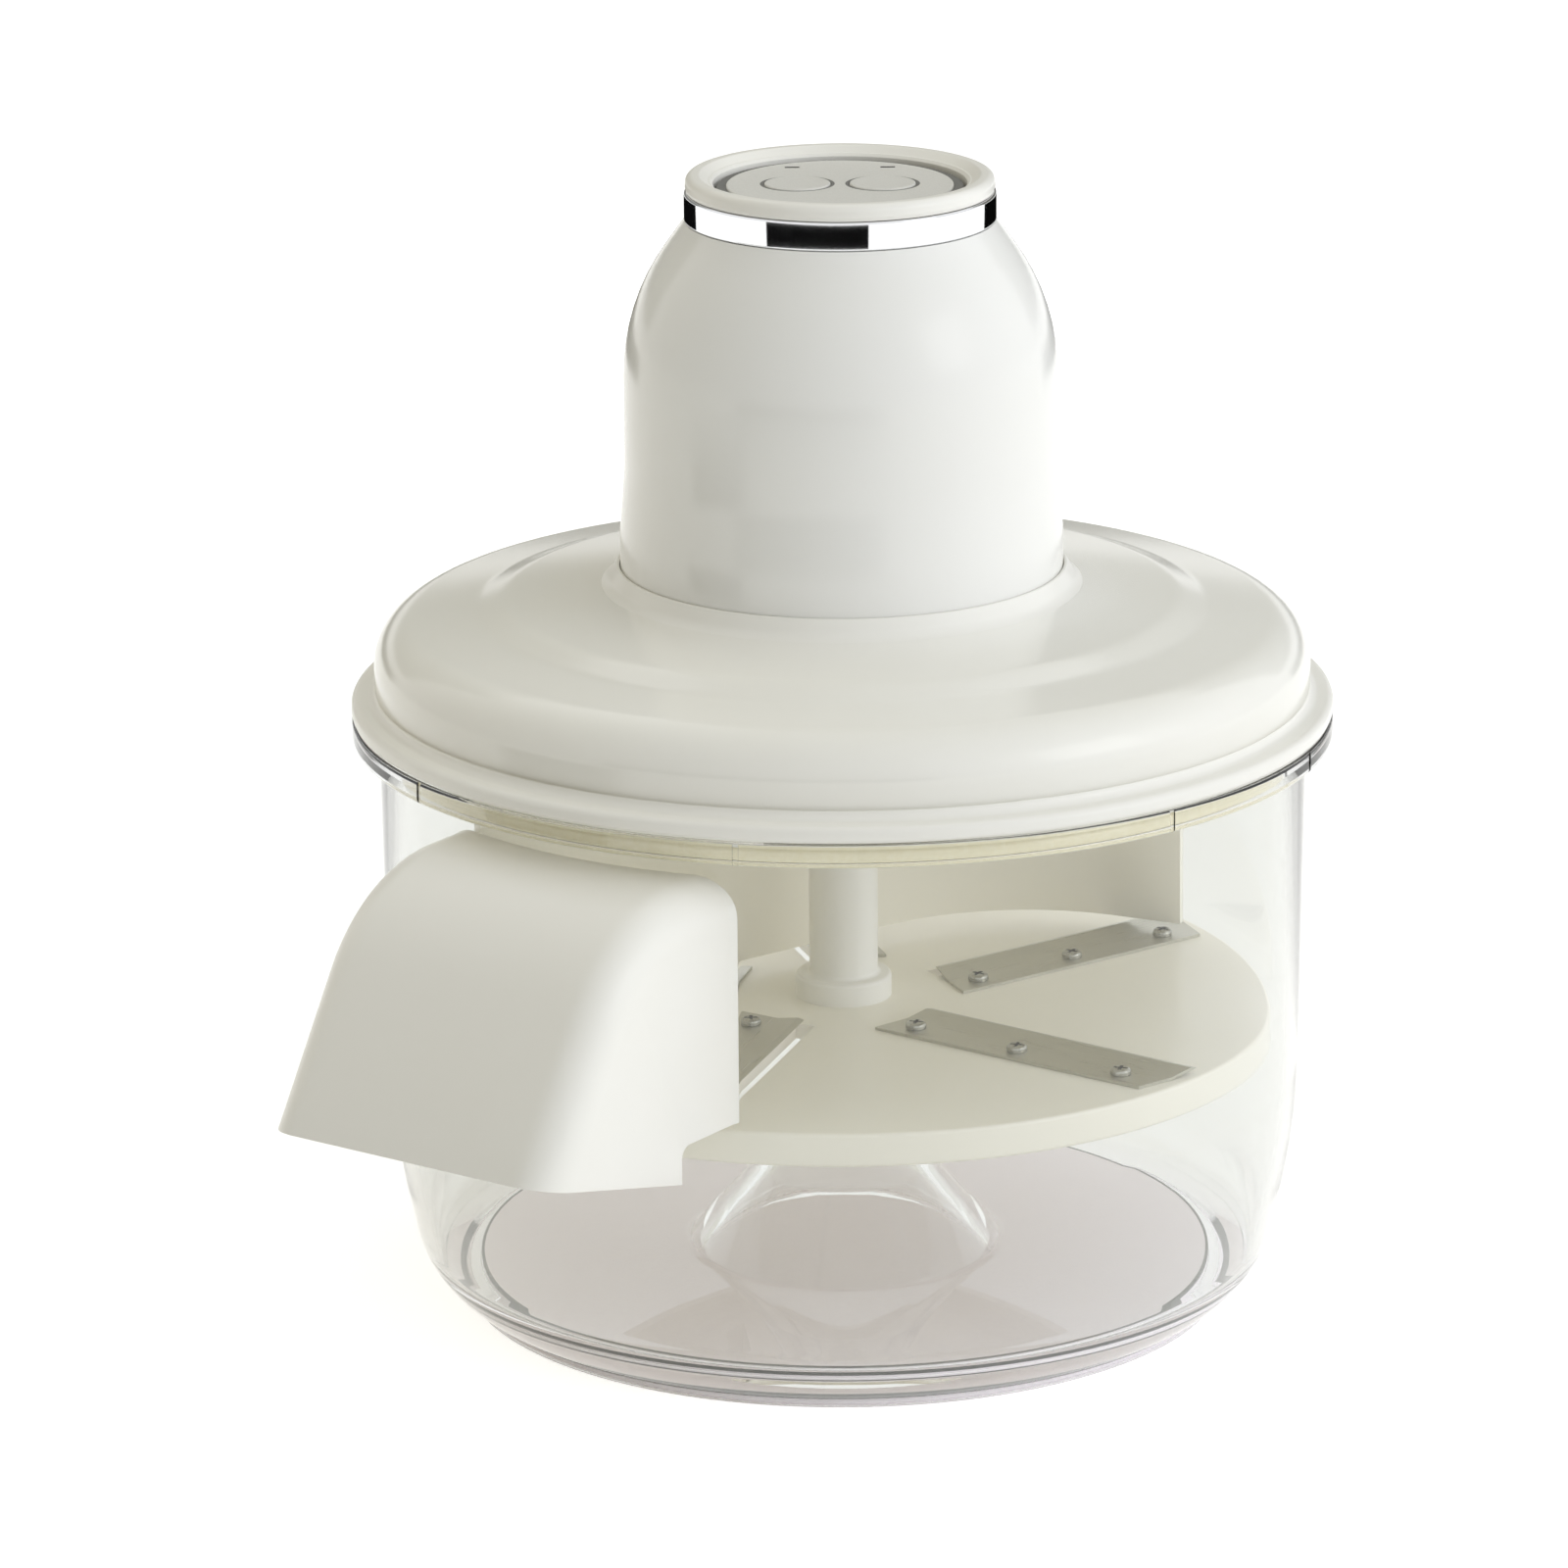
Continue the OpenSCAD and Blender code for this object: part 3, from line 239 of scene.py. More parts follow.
def prism(name: str, path: Sequence[Vector], sweep: Vector) -> Piece:
    """Fills a closed outline and extrudes it into a solid.

    Args:
        name: name of the new object.
        path: flat outline in millimetres.
        sweep: how far and which way the outline is extruded, in millimetres.

    Returns:
        The new piece.
    """
    piece = draw(name, [p * MM for p in path])
    bpy.ops.mesh.edge_face_add()
    bpy.ops.mesh.extrude_region_move(TRANSFORM_OT_translate={"value": sweep * MM})
    return face_out(piece)


def side_prism(name: str, corners: Sequence[Corner], half: float) -> Piece:
    """Extrudes a side view across the chute.

    Args:
        name: name of the new object.
        corners: (distance in front of the axis, height[, radius]) in millimetres.
        half: half the width in millimetres.

    Returns:
        The new piece, symmetric about the chute's middle plane.
    """
    path = [Vector((-half, -out, z)) for out, z in rounded(corners)]
    return prism(name, path, Vector((2 * half, 0, 0)))


def block(name: str, centre: Vector, size: Vector, turn: float = 0.0, about: float = 0.0) -> Piece:
    """Adds a box that is used up as a cutter.

    Args:
        name: name of the new object.
        centre: middle of the box in millimetres.
        size: its three sides in millimetres.
        turn: its own turn about the vertical in degrees.
        about: a further swing about the main axis in degrees.

    Returns:
        The new cutter.
    """
    select_none()
    spot = Matrix.Rotation(math.radians(about), 3, "Z") @ centre
    bpy.ops.mesh.primitive_cube_add(
        size=1, location=spot * MM, rotation=(0, 0, math.radians(turn + about)), scale=size * MM
    )
    piece = bpy.context.object
    piece.name = name
    return settle(piece)


def apply_modifier(piece: Piece, kind: str, **settings: Any) -> None:
    """Adds a modifier with its settings and applies it.

    Args:
        piece: the object.
        kind: the modifier's type.
        settings: its properties by name.
    """
    modifier = piece.modifiers.new(kind.lower(), kind)
    for key, value in settings.items():
        setattr(modifier, key, value)
    take(piece)
    bpy.ops.object.modifier_apply(modifier=modifier.name)


def carve(piece: Piece, *cutters: Piece) -> Piece:
    """Cuts solids out of a piece and removes the cutters.

    Args:
        piece: the object that is cut.
        cutters: closed objects, used up.

    Returns:
        The same piece.
    """
    for cutter in cutters:
        apply_modifier(piece, "BOOLEAN", operation="DIFFERENCE", solver="EXACT", object=cutter)
        bpy.data.objects.remove(cutter)
    return piece


def ease_edges(piece: Piece, width: float, angle: float = 40.0, segments: int = 2) -> None:
    """Rounds the sharp edges of a piece a little, as a mould does.

    Args:
        piece: the object.
        width: width of the rounding in millimetres.
        angle: edges sharper than this many degrees are rounded.
        segments: flats across the rounding.
    """
    apply_modifier(
        piece, "BEVEL", width=width * MM, segments=segments, limit_method="ANGLE",
        angle_limit=math.radians(angle), use_clamp_overlap=True, harden_normals=False,
    )


def smooth(piece: Piece, angle: float = 32.0) -> Piece:
    """Shades a piece smooth and keeps edges sharper than an angle in degrees.

    Args:
        piece: the object.
        angle: sharper edges than this many degrees stay sharp.

    Returns:
        The same piece.
    """
    take(piece)
    bpy.ops.object.shade_smooth_by_angle(angle=math.radians(angle))
    return piece


def copied(piece: Piece, name: str, turn: float) -> Piece:
    """Copies a piece with its own mesh and swings the copy about the main axis.

    Args:
        piece: the object to copy.
        name: name of the copy.
        turn: swing in degrees.

    Returns:
        The copy.
    """
    take(piece)
    bpy.ops.object.duplicate(linked=False)
    twin = bpy.context.object
    twin.name = twin.data.name = name
    twin.rotation_euler.z = math.radians(turn)
    return settle(twin)


def joined(name: str, pieces: Sequence[Piece]) -> Piece:
    """Joins several objects into one and names it.

    Args:
        name: name of the whole.
        pieces: what is joined, used up.

    Returns:
        The whole.
    """
    take(pieces[0])
    for piece in pieces[1:]:
        piece.select_set(True)
    bpy.ops.object.join()
    whole = bpy.context.object
    whole.name = whole.data.name = name
    return whole


def bridged(name: str, loops: Sequence[Piece]) -> Piece:
    """Bridges a row of closed wires into a solid with flat ends.

    Args:
        name: name of the new object.
        loops: the wires, each with the same number of points.

    Returns:
        The new piece.
    """
    piece = joined(name, loops)
    bpy.ops.object.mode_set(mode="EDIT")
    bpy.ops.mesh.select_mode(type="EDGE")
    bpy.ops.mesh.select_all(action="SELECT")
    bpy.ops.mesh.bridge_edge_loops(type="SINGLE")
    bpy.ops.mesh.select_all(action="DESELECT")
    bpy.ops.mesh.select_non_manifold()
    bpy.ops.mesh.fill_holes(sides=0)
    return face_out(piece)


def bare_tree(owner: bpy.types.Material | bpy.types.World) -> Tree:
    """Turns an owner's nodes on and clears them.

    Args:
        owner: the material or the world.

    Returns:
        Its empty node tree.
    """
    owner.use_nodes = True
    owner.node_tree.nodes.clear()
    return owner.node_tree


def add_node(
    tree: Tree,
    kind: str,
    settings: dict[str | int, Any] | None = None,
    links: dict[str | int, Any] | None = None,
) -> bpy.types.Node:
    """Adds a shader node with its settings and links.

    Args:
        tree: the node tree.
        kind: the node's type.
        settings: properties in lower case, and values of sockets by name or number.
        links: sockets by name or number, each with the output that feeds it.

    Returns:
        The new node.
    """
    node = tree.nodes.new(kind)
    for key, value in (settings or {}).items():
        if isinstance(key, str) and key.islower():
            setattr(node, key, value)
        else:
            node.inputs[key].default_value = value
    for key, source in (links or {}).items():
        tree.links.new(source, node.inputs[key])
    return node


@dataclass(frozen=True)
class Finish:
    """What every finish has: two tones, a gloss that swings between limits, and a fine relief."""

    name: str
    colour: str
    roughness: float
    ior: float = 1.5
    metallic: float = 0.0
    shade: str = ""
    # How far the roughness falls and rises, and the pattern's values at which it gets there
    swing: Point = (0.05, 0.05)
    spread: Point = (0.0, 1.0)
    # Height of the relief in millimetres, and its weight
    depth: float = 0.004
    relief: float = 0.4
    clear: float = 0.0

    def material(self) -> bpy.types.Material:
        """Gives the finish's material, made once.

        Returns:
            The material, shared by all that wear the finish.
        """
        made = bpy.data.materials.get(self.name)
        if made is None:
            made = bpy.data.materials.new(self.name)
            tree = bare_tree(made)
            self.lay(tree, add_node(tree, "ShaderNodeTexCoord").outputs["Object"])
        return made

    def lay(self, tree: Tree, place: Socket) -> None:
        """Lays the patterns of the finish on the piece's own coordinates."""
        raise NotImplementedError

    def skin(self, tree: Tree, gloss: Socket, height: Socket, tone: Socket | None = None) -> None:
        """Adds the shader and its output, and lets patterns move gloss, relief and tone.

        Args:
            tree: the material's node tree.
            gloss: pattern that swings the roughness.
            height: pattern of the relief.
            tone: pattern that mixes the shade into the colour, where there is one.
        """
        rough = add_node(
            tree, "ShaderNodeMapRange",
            {
                "From Min": self.spread[0], "From Max": self.spread[1],
                "To Min": self.roughness - self.swing[0], "To Max": self.roughness + self.swing[1],
            },
            {"Value": gloss},
        )
        bump = add_node(
            tree, "ShaderNodeBump", {"Strength": self.relief, "Distance": self.depth * MM}, {"Height": height}
        )
        links = {"Roughness": rough.outputs["Result"], "Normal": bump.outputs["Normal"]}
        if tone is not None:
            links["Base Color"] = add_node(
                tree, "ShaderNodeMix",
                {"data_type": "RGBA", 6: linear(self.colour), 7: linear(self.shade)}, {0: tone},
            ).outputs[2]
        shader = add_node(
            tree, "ShaderNodeBsdfPrincipled",
            {
                "Base Color": linear(self.colour), "Roughness": self.roughness, "IOR": self.ior,
                "Metallic": self.metallic, "Transmission Weight": self.clear,
            },
            links,
        )
        add_node(tree, "ShaderNodeOutputMaterial", links={"Surface": shader.outputs["BSDF"]})


@dataclass(frozen=True)
class MouldedPlastic(Finish):
    """Injection-moulded ABS: an even satin skin with faint orange peel and a slow drift in tone."""

    relief: float = 0.35
    peel: float = 1.6
    drift: float = 60.0

    def lay(self, tree: Tree, place: Socket) -> None:
        """Drifts the tone and the gloss slowly, and adds the orange peel as a fine bump.

        Args:
            tree: the material's node tree.
            place: the piece's own coordinates.
        """
        drift, peel = (
            add_node(
                tree, "ShaderNodeTexNoise", {"Scale": per_mm(size), "Detail": detail}, {"Vector": place}
            ).outputs["Fac"]
            for size, detail in ((self.drift, 2.0), (self.peel, 1.0))
        )
        self.skin(tree, drift, peel, drift)


@dataclass(frozen=True)
class ClearPlastic(Finish):
    """Clear moulded styrene: polished walls with the slow waviness of the melt's flow."""

    swing: Point = (0.0, 0.015)
    depth: float = 0.012
    relief: float = 0.5
    clear: float = 1.0
    wave: float = 26.0

    def lay(self, tree: Tree, place: Socket) -> None:
        """Keeps the wall fully clear, and lets its polish and its surface waver a little.

        Args:
            tree: the material's node tree.
            place: the piece's own coordinates.
        """
        wave = add_node(
            tree, "ShaderNodeTexNoise", {"Scale": per_mm(self.wave), "Detail": 1.0}, {"Vector": place}
        ).outputs["Fac"]
        self.skin(tree, wave, wave)


@dataclass(frozen=True)
class BrushedSteel(Finish):
    """Stainless strip with a brushed grain along its length."""

    swing: Point = (0.08, 0.1)
    spread: Point = (0.3, 0.7)
    relief: float = 0.3
    grain: float = 0.35
    streak: float = 14.0
    turn: float = 0.0

    def lay(self, tree: Tree, place: Socket) -> None:
        """Stretches a noise along the strip, for tone, gloss and the brushed relief.

        Args:
            tree: the material's node tree.
            place: the piece's own coordinates.
        """
        for settings in (
            {"Rotation": (0.0, 0.0, -math.radians(self.turn))},
            {"Scale": (self.grain / self.streak, 1.0, 1.0)},
        ):
            place = add_node(tree, "ShaderNodeMapping", settings, {"Vector": place}).outputs["Vector"]
        grain = add_node(
            tree, "ShaderNodeTexNoise", {"Scale": per_mm(self.grain), "Detail": 3.0}, {"Vector": place}
        ).outputs["Fac"]
        self.skin(tree, grain, grain, grain)


@dataclass(frozen=True)
class SpeckledSkin(Finish):
    """A skin with fine grain: metallic paint, rubber, a shrink sleeve, sintered or plated metal."""

    swing: Point = (0.06, 0.06)
    depth: float = 0.01
    grain: float = 0.5
    # The pattern's values at which the shade starts and is full, and its largest share
    contrast: Corner = (0.35, 0.65, 0.6)

    def lay(self, tree: Tree, place: Socket) -> None:
        """Mixes two tones by a fine noise, which also moves the gloss and the relief.

        Args:
            tree: the material's node tree.
            place: the piece's own coordinates.
        """
        grain = add_node(
            tree, "ShaderNodeTexNoise", {"Scale": per_mm(self.grain), "Detail": 3.0}, {"Vector": place}
        ).outputs["Fac"]
        low, high, most = self.contrast
        tone = add_node(
            tree, "ShaderNodeMapRange",
            {"From Min": low, "From Max": high, "To Min": 0.0, "To Max": most}, {"Value": grain},
        )
        self.skin(tree, grain, grain, tone.outputs["Result"])


# ABS mouldings: satin; one ivory as lit and shaded copies, a warmer one on the parts inside the bowl that
# paints their warm shade and a paler one on the lid, chute, tube and bezel as the lit copy, and a shade
# whiter on the motor head
SHADED_IVORY = MouldedPlastic("shaded_ivory_abs", "#F2EFE2", 0.3, 1.53, shade="#EDE9DA")
LIT_IVORY = MouldedPlastic("lit_ivory_abs", "#F2F1EB", 0.3, 1.53, shade="#EEECE4")
HOUSING = MouldedPlastic("offwhite_abs", "#F0F0EC", 0.18, 1.53, shade="#ECEBE6", drift=90.0)
DARK_PLASTIC = MouldedPlastic("black_abs", "#26262A", 0.4, 1.53, shade="#1E1E22")
# Acetal gear: white, a little waxy
GEAR_ACETAL = MouldedPlastic("white_acetal", "#E7E6DF", 0.34, 1.48, shade="#DEDDD5")
# Styrene walls: the bowl is a thick polished moulding, the lid's cover a thin one with a satin skin
CLEAR_BOWL = ClearPlastic("clear_styrene_bowl", "#FBFCFB", 0.0, swing=(0.0, 0.01), depth=0.004)
CLEAR_LID = ClearPlastic("clear_styrene_cover", "#FBFBF9", 0.16, wave=40.0)
# Thermoplastic rubber and silicone: matt, with an eroded grain drawn coarse enough to show
PAD_RUBBER = SpeckledSkin("grey_pad_rubber", "#EEE8EB", 0.5, shade="#E5DEE2", grain=0.8)
SILICONE = SpeckledSkin("cream_silicone", "#F2ECD0", 0.42, 1.43, shade="#EAE2C0", grain=1.2)
# Seals, and the dark pieces that paint the shadow in gaps: the pad's bead, the button rings and the raised
# panel gasket; their low index keeps them from mirroring the light
DARK_SEAL_AND_SHADOW = SpeckledSkin("dark_rubber", "#22211E", 0.6, 1.05, shade="#1B1A17", grain=0.7)
# Indicator film: tinted and matt, so it hardly mirrors the light
SMOKED_LENS = MouldedPlastic("smoked_film", "#1F1E1C", 0.6, 1.05, shade="#191816")
# Panel: silver-grey paint, whose flakes are drawn coarser than real ones so that they show
PANEL_PAINT = SpeckledSkin(
    "silver_panel_paint", "#E0DFD9", 0.42, 1.5, 0.15, shade="#D3D2CC", grain=0.35, depth=0.003
)
# Shrink sleeve and solder resist: thin glossy skins with a slow mottle
CELL_SLEEVE = SpeckledSkin("cell_sleeve", "#3E6B8C", 0.3, shade="#37617F", grain=5.0, depth=0.004)
BOARD_RESIST = SpeckledSkin("board_solder_resist", "#2F6B45", 0.34, shade="#28603D", grain=2.5)
# Studio cards: matt paper
BLACK_PAPER = MouldedPlastic("black_paper", "#0B0B0C", 0.9, 1.1, shade="#080808")
GREY_PAPER = MouldedPlastic("grey_paper", "#8E8E8A", 0.9, 1.1, shade="#888884")
# Metals keep the default index of refraction: bright chrome, duller zinc and nickel, ground pins,
# and bronze with open grains
METAL = (1.5, 1.0)
CHROME = SpeckledSkin(
    "plated_chrome", "#E9EAEC", 0.05, *METAL, shade="#E3E4E7", grain=18.0, depth=0.002, swing=(0.02, 0.02)
)
SCREW_STEEL = SpeckledSkin(
    "zinc_screw_steel", "#B9B8B0", 0.26, *METAL, shade="#A3A299", grain=0.6, depth=0.006
)
GROUND_STEEL = SpeckledSkin(
    "ground_steel", "#B4B5B7", 0.24, *METAL, shade="#9FA0A3", grain=0.4, depth=0.004
)
CAN_STEEL = SpeckledSkin(
    "zinc_plate_steel", "#AEB0B2", 0.36, *METAL, shade="#999B9E", grain=4.0, depth=0.004
)
INLET_METAL = SpeckledSkin(
    "nickel_shell", "#A9A8A3", 0.28, *METAL, shade="#8E8D88", grain=0.8, depth=0.004
)
BRONZE = SpeckledSkin("sintered_bronze", "#A5793F", 0.42, *METAL, shade="#8B6434")
# Blades: rolled stainless strip, whose brushed grain follows each blade, coarse enough to show
BLADE_STEEL = ("#B5B3A8", 0.34, *METAL, "#D2D0C4")


def dress(piece: Piece, finish: Finish) -> None:
    """Gives a new piece one finish."""
    piece.data.materials.clear()
    piece.data.materials.append(finish.material())


def dress_node(node: str, finish: Finish) -> None:
    """Gives a solid of the frame a finish through its material slots.

    Args:
        node: name of the solid.
        finish: what it is dressed in.
    """
    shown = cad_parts[node]
    if not shown.material_slots:
        shown.data.materials.append(None)
    for slot in shown.material_slots:
        slot.material = finish.material()
    LOG.info("solid %s keeps its mesh, in %s", node, finish.name)


def fit(piece: Piece, body: str, slot: str, finish: Finish, *nodes: str) -> None:
    """Dresses a new piece and lets it stand for its solids on their body.

    Args:
        piece: the object.
        body: the body that it rides on.
        slot: the record's material slot; not used.
        finish: what it is dressed in.
        nodes: the solids that it replaces.
    """
    dress(piece, finish)
    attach(piece, body)
    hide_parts(*nodes)
    if isinstance(finish, ClearPlastic):
        # Soft light passes a clear wall as if it weren't there
        piece.visible_shadow = piece.visible_diffuse = False
    LOG.info("piece %s: %d faces on %s", piece.name, len(piece.data.polygons), body)


@dataclass
class Bowl:
    """The clear bowl on its foot ring and pad, with the chute's window and the cone in its floor."""

    rim_r: float = 120.0
    rim_top: float = top_of("bowl")
    rim_h: float = 5.5
    wall_r: float = 113.5
    wall: float = 3.2
    knee: Corner = (112.2, 44.0, 150.0)
    foot_r: float = 105.0
    foot_up: float = 1.3
    corner_r: float = 24.0
    ring_in: float = 91.1
    ring_r: float = 94.5
    ring_h: float = 1.8
    fine_edge: float = 0.5
    rim_edge: float = 1.0
    floor_low: float = top_of("base_pad")
    floor_t: float = 3.2
    cone_r: float = 39.6
    cone_skin: float = 4.16
    cone_drop: float = 1.0
    cone_bends: Corner = (3.0, 14.0, 8.0)
    cone_bends_in: Point = (6.0, 10.8)
    waist_r: float = 23.1
    waist_up: float = 18.9
    post_r: float = 11.0
    post_top: float = foot_of("hub_bush") - 0.3
    post_len: float = 17.5
    pin_seat: float = 12.0
    pin_r: float = 3.05
    inner_corner_r: float = 8.0
    window_half: float = 40.9
    window_low: float = foot_of("guide_wall") + 0.6
    window_top: float = top_of("discharge_chute") - 0.6
    window_corner: float = 10.0
    notch_angles: tuple[float, ...] = (248.0, 293.0, 345.0, 14.0)
    notch: Point = (0.5, 1.4)
    pad_bond: float = 0.05
    # Width and height of the dark bead round the pad, painted shadow for the gap between pad and foot ring
    bead: Point = (0.7, 2.6)
    groove_rs: tuple[float, ...] = (24.0, 42.0, 60.0, 78.0)
    groove: Point = (2.4, 0.9)

    def outline(self) -> list[Corner]:
        """Gives the bowl's section, from the pin's seat round the outside and back along the inside.

        Returns:
            The corners of the section.
        """
        low, floor, rim_low = self.floor_low, self.floor_low + self.floor_t, self.rim_top - self.rim_h
        waist, post = floor + self.waist_up, self.post_top - self.post_len
        seat, post_in = self.post_top - self.pin_seat, self.post_r - self.wall
        foot_bend, waist_bend, post_bend = self.cone_bends
        post_bend_in, waist_bend_in = self.cone_bends_in
        return [
            (self.pin_r, seat), (post_in, seat), (post_in, post - self.wall, post_bend_in),
            (self.waist_r - self.cone_skin, waist - self.cone_drop, waist_bend_in),
            (self.cone_r - self.cone_skin, low), (self.ring_in, low),
            (self.ring_in, 0.0, self.fine_edge), (self.ring_r, 0.0, self.fine_edge),
            (self.ring_r, self.ring_h), (self.foot_r, low + self.foot_up, self.corner_r), self.knee,
            (self.wall_r, rim_low), (self.rim_r, rim_low, self.rim_edge),
            (self.rim_r, self.rim_top, self.rim_edge),
            (self.wall_r - self.wall, self.rim_top, self.fine_edge),
            (self.knee[0] - self.wall, *self.knee[1:]),
            (self.foot_r - self.wall, floor, self.inner_corner_r), (self.cone_r, floor, foot_bend),
            (self.waist_r, waist, waist_bend), (self.post_r, post, post_bend),
            (self.post_r, self.post_top, self.rim_edge), (self.pin_r, self.post_top),
        ]

    def shell(self) -> Piece:
        """Turns the bowl and cuts its notches, and a window whose edges sit in the chute's wall.

        Returns:
            The clear bowl.
        """
        piece = lathe("bowl_shell", self.outline())
        half, low, top, bend = self.window_half, self.window_low, self.window_top, self.window_corner
        outline = rounded([(-half, low), (half, low), (half, top, bend), (-half, top, bend)])
        window = prism(
            "window_cut", [Vector((x, -self.rim_r - PAST, z)) for x, z in outline],
            Vector((0, self.rim_r / 2, 0)),
        )
        deep, wide = self.notch
        notches = [
            block(
                "notch_cut", Vector((self.rim_r, 0, self.rim_top - self.rim_h / 2)),
                Vector((2 * deep, wide, self.rim_h + 2 * PAST)), 0.0, angle,
            )
            for angle in self.notch_angles
        ]
        return smooth(carve(piece, window, *notches))

    def pad(self) -> Piece:
        """Turns the pad that is moulded to the floor and the foot ring, with grip grooves underneath.

        Returns:
            The pad.
        """
        wide, deep = self.groove
        under: list[Corner] = [(0.0, 0.0)]
        for r in self.groove_rs:
            under += [(r - wide / 2, 0.0), (r - wide / 2, deep), (r + wide / 2, deep), (r + wide / 2, 0.0)]
        (into, low), (edge, top) = self.shadow_bead_section()
        return smooth(lathe("base_pad_rubber", [
            *under, (edge, 0.0, self.fine_edge), (edge, low), (into, low), (into, top), (0.0, top),
        ]))

    def shadow_bead_section(self) -> tuple[Point, Point]:
        """Gives the inner lower and the outer upper corner of the dark bead, painted shadow round the pad's
        edge.
        """
        edge, top = self.ring_in + self.pad_bond, self.floor_low + self.pad_bond
        return (edge - self.bead[0], top - self.bead[1]), (edge, top)

    def pad_shadow_bead(self) -> Piece:
        """Turns the dark bead round the pad's upper edge, which paints the shadow in the gap between pad and
        foot ring.
        """
        (into, low), (edge, top) = self.shadow_bead_section()
        return smooth(lathe("base_pad_shadow_bead", [(into, low), (edge, low), (edge, top), (into, top)]))

    def build(self) -> None:
        """Builds the bowl, the pad and the dark bead of painted shadow round it."""
        fit(self.shell(), "bowl", "clear_bowl", CLEAR_BOWL, "bowl")
        fit(self.pad(), "bowl", "pad", PAD_RUBBER, "base_pad")
        # The bead is painted shadow, dressed dark like the seals
        fit(self.pad_shadow_bead(), "bowl", "dark_rubber", DARK_SEAL_AND_SHADOW)
        dress_node("pivot_pin", GROUND_STEEL)


@dataclass
class Chute:
    """The ivory hood through the bowl's window, and the guide wall that leads to it."""

    half: float = 41.5
    wall: float = 2.4
    rear: float = 101.115
    top: float = top_of("discharge_chute")
    under_floor: float = foot_of("guide_wall")
    reach: float = 177.6
    lip_up: float = 3.8
    heel: float = 124.9
    heel_h: float = 9.1
    slope: float = 58.0
    bend_r: float = 45.0
    edge_r: float = 10.0
    inner_corner: float = 3.0
    bowl_r: float = 109.8
    edge_steps: int = 10
    room_past: float = 10.0
    floor_past: float = 20.0
    mouth_past: float = 5.0
    hood_ease: float = 0.45
    guide_ease: float = 0.35
    guide_t: float = 2.5
    guide_start: Point = (-37.85, -113.115)
    guide_heading: float = 90.0
    guide_runs: tuple[float, ...] = (76.0, 56.9928, 18.0)
    guide_bends: tuple[Point, ...] = ((80.0, 18.0), (60.0, 60.0))
    guide_top: float = top_of("guide_wall")
    guide_neck_drop: float = 11.0
    guide_neck_r: float = 103.3

    def __post_init__(self) -> None:
        """Works out the heights that follow from the floor."""
        self.floor = self.under_floor + self.wall
        self.lip_z = self.under_floor + self.lip_up
        self.heel_z = self.under_floor - self.heel_h
        self.low = self.heel_z - self.heel_h

    def front(self, z: float, inset: float) -> float:
        """Gives how far the sloping front stands out at a height, under a skin of this depth."""
        slant = math.radians(self.slope)
        return self.reach + (self.lip_z - z) / math.tan(slant) - inset / math.sin(slant)

    def solid(self, name: str, inset: float, behind: float) -> Piece:
        """Makes the full form of the hood with its rounded long edges.

        Args:
            name: name of the new object.
            inset: depth under the outer skin in millimetres.
            behind: how much further back it reaches in millimetres.

        Returns:
            The new solid.
        """
        rear, radius = self.rear - behind, self.edge_r - inset
        turns = [math.pi / 2 * k / self.edge_steps for k in range(self.edge_steps + 1)]
        loops = []
        for side, turn in [(-1, t) for t in turns[::-1]] + [(1, t) for t in turns]:
            skin = inset + radius * (1 - math.cos(turn))
            x = side * (self.half - self.edge_r + radius * math.sin(turn))
            top = self.top - skin
            outline = rounded([
                (rear, self.low), (self.front(self.low, skin), self.low),
                (self.front(top, skin), top, self.bend_r - skin), (rear, top),
            ])
            loops.append(draw(name, [Vector((x, -out, z)) * MM for out, z in outline]))
            settle(loops[-1])
        return bridged(name, loops)

    def hood(self) -> Piece:
        """Hollows the hood, opens its mouth and fits it to the bowl.

        Returns:
            The hood.
        """
        under, over = self.low - self.room_past, self.top + PAST
        inside, behind = self.heel + self.wall, self.rear - self.floor_past
        room = self.solid("hood_room", self.wall, self.room_past)
        carve(room, side_prism("floor_block", [
            (behind, under), (inside, under), (inside, self.floor, self.inner_corner), (behind, self.floor),
        ], self.half + PAST))
        far, back = self.reach + self.bend_r, self.rear - self.mouth_past
        rise = (self.lip_z - self.heel_z) / (self.reach - self.heel)
        mouth = side_prism("mouth_cut", [
            (back, under), (far, under), (far, self.lip_z + rise * (far - self.reach)),
            (self.heel, self.heel_z), (self.heel, self.under_floor, self.inner_corner),
            (back, self.under_floor),
        ], self.half + self.mouth_past)
        bore = lathe("bowl_cut", [(0, under), (self.bowl_r, under), (self.bowl_r, over), (0, over)])
        piece = carve(self.solid("chute_hood", 0.0, 0.0), room, mouth, bore)
        ease_edges(piece, self.hood_ease)
        return smooth(piece)

    def guide_line(self) -> list[tuple[Vector, float]]:
        """Gives the middle line of the guide wall as points and headings in degrees.

        Returns:
            The line, from the chute to the wall's free end.
        """
        spot, heading = Vector(self.guide_start), self.guide_heading
        line = [(spot.copy(), heading)]
        for i, run in enumerate(self.guide_runs):
            way = Vector((math.cos(math.radians(heading)), math.sin(math.radians(heading))))
            spot = spot + way * run
            line.append((spot.copy(), heading))
            if i == len(self.guide_bends):
                break
            radius, turn = self.guide_bends[i]
            aside = Vector((way.y, -way.x)) * radius
            centre = spot + aside
            for k in range(1, BEND_STEPS + 1):
                swing = Matrix.Rotation(-math.radians(turn * k / BEND_STEPS), 2)
                line.append((centre - swing @ aside, heading - turn * k / BEND_STEPS))
            spot, heading = line[-1][0].copy(), line[-1][1]
        return line

